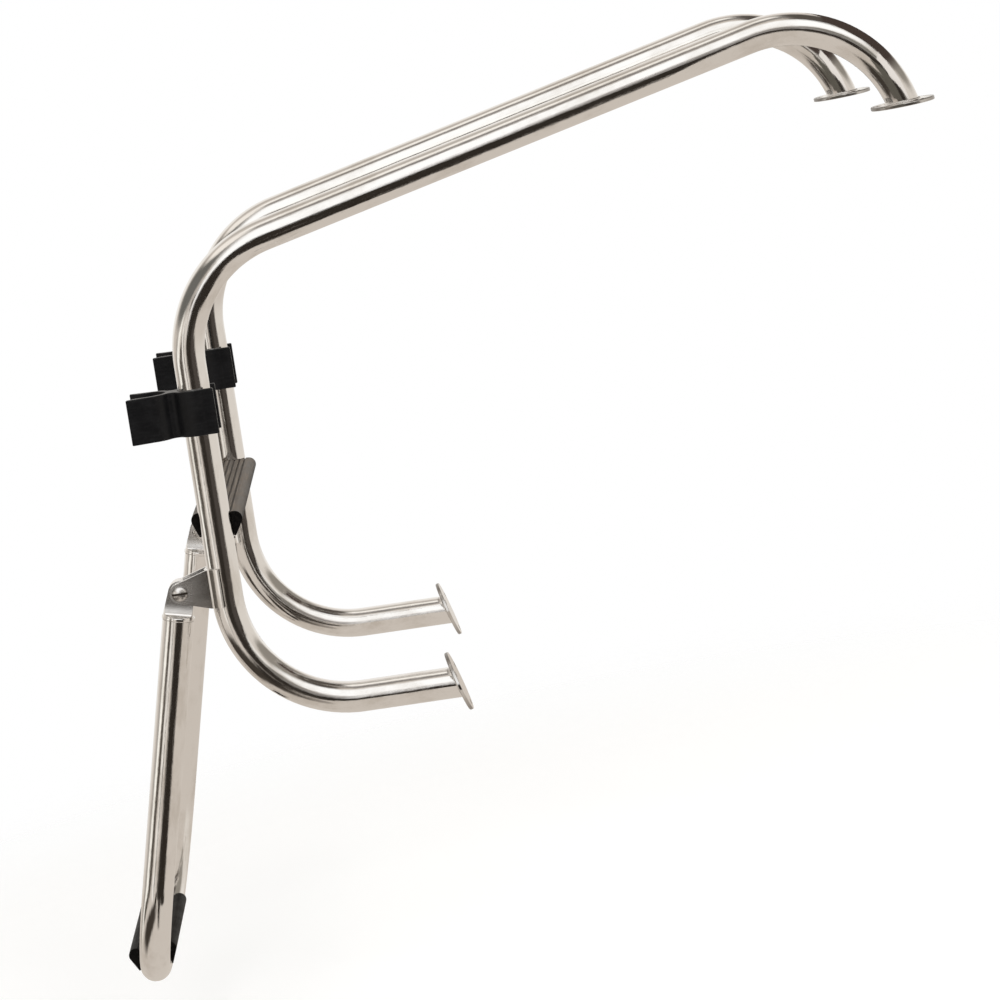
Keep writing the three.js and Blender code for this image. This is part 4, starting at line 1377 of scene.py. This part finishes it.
# %% Studio panels
world = bpy.data.worlds.new("studio")
bpy.context.scene.world = world
world.use_nodes = True
sky = world.node_tree
sky.nodes.clear()
placed = directions(sky)
FLOOR_BEIGE = (196, 187, 177)
start = sky.nodes.new("ShaderNodeRGB")
start.outputs[0].default_value = linear(*FLOOR_BEIGE)
seen = start.outputs[0]
STRIPS = (
    ((208, 200, 192), 145, 22, 8, 0),  # ceiling behind
    ((176, 169, 160), 115, 8, 5, 0),  # greyer ceiling above
    ((244, 239, 231), 98, 8, 4, 40),  # skylight
    ((134, 129, 124), 79, 9, 4, 50),  # dark beam between the skylight and the soft box
)
for strip_values in STRIPS:
    seen = strip(sky, placed, seen, *strip_values)
PANELS = (
    ((211, 204, 195), 100, -4, 58, 17, 0.4, 0),  # pale wall, beyond the deck end
    ((232, 228, 222), -160, 18, 36, 26, 0.35, 0),  # backdrop, left of the middle
    ((232, 228, 222), 165, 5, 32, 14, 0.5, 0),  # backdrop, right
    ((138, 132, 123), 98, 28, 50, 17, 0.25, 0),  # grey wall over the pale one
    ((82, 76, 70), 98, 58, 56, 15, 0.2, 0),  # dark ceiling over both walls
    ((104, 102, 97), -72, 31, 44, 17, 0.35, 0),  # grey wall, high on the left
    ((238, 231, 222), -70, 56, 34, 10, 0.4, 0),  # lit ceiling on the left
    ((246, 242, 233), -87, -2, 10, 18, 0.2, 1.8),  # window
    ((84, 78, 71), -61, -2, 15, 14, 0.15, 3.0),  # dark upright on the left
    ((162, 156, 149), -104, -2, 8, 15, 0.4, 1.8),  # wall beside the window
    ((228, 222, 214), -36, -3, 11, 13, 0.2, 0),  # pale stand, left of the camera
    ((142, 136, 129), -32, -6, 3, 12, 0.3, 0),  # a pole in front of it
    ((224, 219, 212), 30, 7, 14, 9, 0.4, 0),  # pale wall, right of the camera
    ((146, 141, 137), 2, 5, 15, 12, 0.4, 0),  # shade under the soft box
    ((255, 254, 252), 14, 41, 40, 22, 0.28, 0),  # the big soft box
    ((255, 254, 252), -11, 18, 11, 17, 0.3, 0),  # its lower corner
    ((60, 54, 48), -60, -33, 46, 12, 0.3, 0),  # dark floor, left
    ((46, 41, 36), 20, -8, 36, 9, 0.1, 0),  # dark screen beside the camera
    ((44, 39, 34), 13, -19, 21, 10, 0.15, 0),  # its lower part
    ((70, 64, 59), 34, -11, 16, 8, 0.35, 0),  # its paler right part
    ((120, 116, 109), 20, 9, 8, 8, 0.5, 0),  # its lit upper corner
    ((44, 39, 34), 30, -33, 13, 8, 0.2, -1.0),  # its foot, right
    ((44, 39, 34), -20, -24, 7, 8, 0.3, 1.3),  # its foot, left
    ((44, 39, 34), 7, -38, 8, 21, 0.12, 0),  # the camera's stand
)
for panel_values in PANELS:
    seen = panel(sky, placed, seen, *panel_values)
print("studio strips:", len(STRIPS), "- studio panels:", len(PANELS))

# %% [markdown]
# ## Who sees which light
# The world shows one thing to reflections, another to the camera and a third to matt surfaces. Light Path
# tells them apart, and two Mix Shader nodes choose between three plain backgrounds.

# %% World rays
GLOSS_STRENGTH, GLOW = 1.12, 0.8
paths = sky.nodes.new("ShaderNodeLightPath")
reflected = sky.nodes.new("ShaderNodeBackground")
sky.links.new(seen, reflected.inputs["Color"])
reflected.inputs["Strength"].default_value = GLOSS_STRENGTH
glow = sky.nodes.new("ShaderNodeBackground")
glow.inputs["Color"].default_value = (1, 0.99, 0.97, 1)
glow.inputs["Strength"].default_value = GLOW
white = sky.nodes.new("ShaderNodeBackground")
white.inputs["Color"].default_value = (1, 1, 1, 1)
by_gloss = sky.nodes.new("ShaderNodeMixShader")
mirror_ray = math_node(sky, "MAXIMUM", paths.outputs["Is Glossy Ray"], paths.outputs["Is Transmission Ray"])
sky.links.new(mirror_ray, by_gloss.inputs[0])
sky.links.new(glow.outputs[0], by_gloss.inputs[1])
sky.links.new(reflected.outputs[0], by_gloss.inputs[2])
by_camera = sky.nodes.new("ShaderNodeMixShader")
sky.links.new(paths.outputs["Is Camera Ray"], by_camera.inputs[0])
sky.links.new(by_gloss.outputs[0], by_camera.inputs[1])
sky.links.new(white.outputs[0], by_camera.inputs[2])
world_out = sky.nodes.new("ShaderNodeOutputWorld")
sky.links.new(by_camera.outputs[0], world_out.inputs["Surface"])
print("strength for reflections:", GLOSS_STRENGTH, "- glow for matt surfaces:", GLOW)

# %% [markdown]
# ## The floor
# The floor is pale and far enough below that the ladder hangs clear of it, as it would on a boat. It takes
# the shadow, fades out towards its rim so that no horizon shows, and reflections look through it to the
# panels. A little emission, which only the camera sees, brings it up to the white of the world.

# %% Floor
FLOOR_DROP, FLOOR_RADIUS, FLOOR_MIDDLE, FLOOR_LIFT = 0.16, 1.5, -0.4, 0.03
FADE_START, FADE_END = 0.6 * FLOOR_RADIUS, 0.98 * FLOOR_RADIUS
builder = bmesh.new()
bmesh.ops.create_circle(builder, cap_ends=True, segments=96, radius=FLOOR_RADIUS)
floor = object_from(builder, "floor")
floor.location = (FLOOR_MIDDLE, 0, cad_box[0].z - FLOOR_DROP)
floor_material = bpy.data.materials.new("pale_floor")
floor_material.use_nodes = True
tree = floor_material.node_tree
tree.nodes.clear()
floor_paths = tree.nodes.new("ShaderNodeLightPath")
floor_point = tree.nodes.new("ShaderNodeTexCoord")
middle_distance = tree.nodes.new("ShaderNodeVectorMath")
middle_distance.operation = "LENGTH"
tree.links.new(floor_point.outputs["Object"], middle_distance.inputs[0])
matt = tree.nodes.new("ShaderNodeBsdfDiffuse")
matt.inputs["Color"].default_value = (1, 1, 1, 1)
clear = tree.nodes.new("ShaderNodeBsdfTransparent")
choose = tree.nodes.new("ShaderNodeMixShader")
fade = ramp_node(tree, middle_distance.outputs["Value"], FADE_START, FADE_END)
fade = math_node(tree, "MAXIMUM", fade, floor_paths.outputs["Is Glossy Ray"])
fade = math_node(tree, "MAXIMUM", fade, floor_paths.outputs["Is Transmission Ray"])
lift = tree.nodes.new("ShaderNodeEmission")
lift_strength = math_node(tree, "MULTIPLY", floor_paths.outputs["Is Camera Ray"], FLOOR_LIFT)
tree.links.new(lift_strength, lift.inputs["Strength"])
pale = tree.nodes.new("ShaderNodeAddShader")
tree.links.new(matt.outputs[0], pale.inputs[0])
tree.links.new(lift.outputs[0], pale.inputs[1])
tree.links.new(fade, choose.inputs[0])
tree.links.new(pale.outputs[0], choose.inputs[1])
tree.links.new(clear.outputs[0], choose.inputs[2])
floor_out = tree.nodes.new("ShaderNodeOutputMaterial")
tree.links.new(choose.outputs[0], floor_out.inputs["Surface"])
floor.data.materials.append(floor_material)
print("floor at", round(floor.location.z, 3), "m")

# %% [markdown]
# ## Reflector cards
# A photographer holds cards close to polished metal to steer what it mirrors. A panel far away does that for
# a whole tube at once, but only something near changes along a bend. Pale cards hang 50 mm in front of the
# rails, below the arms and inside the deck bends, and in front of the far leg, a white one lights the far
# rail, and a dark one stands beyond the deck bends. Only reflections see them.

# %% Card tools


def card_paint(name, colour, fade=()):
    """Paint that only reflections see. It may fade in between two heights."""
    material = bpy.data.materials.new(name)
    material.use_nodes = True
    tree = material.node_tree
    tree.nodes.clear()
    light = tree.nodes.new("ShaderNodeEmission")
    light.inputs["Color"].default_value = linear(*colour)
    light.inputs["Strength"].default_value = GLOSS_STRENGTH
    out = tree.nodes.new("ShaderNodeOutputMaterial")
    shown = light
    if fade:
        height = tree.nodes.new("ShaderNodeSeparateXYZ")
        tree.links.new(tree.nodes.new("ShaderNodeTexCoord").outputs["Object"], height.inputs[0])
        shown = tree.nodes.new("ShaderNodeMixShader")
        tree.links.new(ramp_node(tree, height.outputs["Z"], *fade), shown.inputs[0])
        tree.links.new(tree.nodes.new("ShaderNodeBsdfTransparent").outputs[0], shown.inputs[1])
        tree.links.new(light.outputs[0], shown.inputs[2])
    tree.links.new(shown.outputs[0], out.inputs["Surface"])
    return material


def card(name, outline, material):
    """A flat card that neither the camera nor matt surfaces see, and that throws no shadow."""
    builder = bmesh.new()
    builder.faces.new([builder.verts.new(point) for point in outline])
    made = object_from(builder, name)
    made.data.materials.append(material)
    made.visible_camera = False
    made.visible_diffuse = False
    made.visible_shadow = False


def side_view(points):
    """Points given as (x, z) in millimetres, on the ladder's middle plane."""
    return [Vector((x, 0, z)) * MM for x, z in points]


print("card tools ready")

# %% Cards
CARD_GAP, CARD_STEP, CARD_DROP, CARD_HEIGHT, CARD_WIDTH = 50 * MM, 1 * MM, 10 * MM, 170 * MM, 200 * MM
ARM_CARD_START = 60 * MM
BEND_CARD_ANGLES, BEND_CARD_FOOT = range(36, 151, 6), side_view(((-165, 0), (-40, 0)))
DARK_FADE = (0.045, 0.072)  # the heights between which the dark card fades in
pale_card = card_paint("pale_card", FLOOR_BEIGE)
white_card = card_paint("white_card", (255, 254, 250))
dark_card = card_paint("dark_card", (66, 56, 51), DARK_FADE)
hook_dark = card_paint("hook_dark_card", (90, 86, 78))
hook_light = card_paint("hook_light_card", (226, 220, 214))
arm_start = foot_corner + heading(-arm_slope) * ARM_CARD_START
arm_card = [arm_start + heading(-90) * CARD_DROP, arm_start + heading(-90) * CARD_HEIGHT]
arm_card += [point + heading(-arm_slope) * CARD_WIDTH for point in reversed(arm_card)]
bend_centre = deck_seat + heading(90 + deck_lean) * deck_stub + heading(180 + deck_lean) * BEND_RADIUS
bend_card = [bend_centre + heading(angle) * (BEND_RADIUS - CARD_DROP) for angle in BEND_CARD_ANGLES]
bend_card += BEND_CARD_FOOT
hook_left = side_view(((-8, 26), (-24, 32), (-36, 8), (-58, 4), (-58, -30), (0, -30)))
hook_right = side_view(((-4, 20), (-4, 42), (40, 75), (40, 5)))
for side_name, sign in SIDES:
    shift = Vector((0, sign * RAIL_PLACE - CARD_GAP, 0))
    nearer = Vector((0, CARD_STEP, 0)) + shift  # these two lie over the pale ones
    card(f"card_arm_{side_name}", [point + shift for point in arm_card], pale_card)
    card(f"card_deck_bend_{side_name}", [point + shift for point in bend_card], pale_card)
    card(f"card_deck_end_{side_name}", [point + nearer for point in hook_left], hook_dark)
    card(f"card_deck_side_{side_name}", [point + nearer for point in hook_right], hook_light)

leg_card = [legs_frame @ point for point in side_view(((-10, -24), (-10, -290), (75, -290), (32, -24)))]
card("card_far_leg", [point + shift for point in leg_card], pale_card)
beyond = ((-0.21, DARK_FADE[0]), (0.3, DARK_FADE[0]), (0.3, 0.25), (-0.21, 0.25))
card("card_boat", [Vector((0.06, y, z)) for y, z in beyond], dark_card)
run = heading(180 + diagonal_slope)
along_rail = ((60, 2), (60, 14), (500, 14), (500, 2))
rail_card = [top_corner + run * (x * MM) + heading(90) * (z * MM) for x, z in along_rail]
card("card_far_rail", [point + shift for point in rail_card], white_card)

# %% [markdown]
# ## The lamp
# One large soft lamp, in front and above, gives the matt pieces some form and the floor its shadow. A
# small lamp would draw hard edges, which soft studio light doesn't have. Neither reflections nor the camera
# see it.

# %% Lamp
LAMP_SIZE, LAMP_POWER, LAMP_AIM = 2.0, 60, Vector((-0.35, 0, -0.25))
lamp_data = bpy.data.lights.new("soft_lamp", "AREA")
lamp_data.shape = "DISK"
lamp_data.size = LAMP_SIZE
lamp_data.energy = LAMP_POWER
lamp = bpy.data.objects.new("soft_lamp", lamp_data)
bpy.context.scene.collection.objects.link(lamp)
lamp.location = (0.4, -2.4, 2.2)
lamp.rotation_euler = (LAMP_AIM - lamp.location).to_track_quat("-Z", "Y").to_euler()
lamp.visible_glossy = False
lamp.visible_camera = False
print("lamp:", LAMP_POWER, "W over", LAMP_SIZE, "m")

# %% View transform
scene = bpy.context.scene
scene.view_settings.view_transform = "Standard"
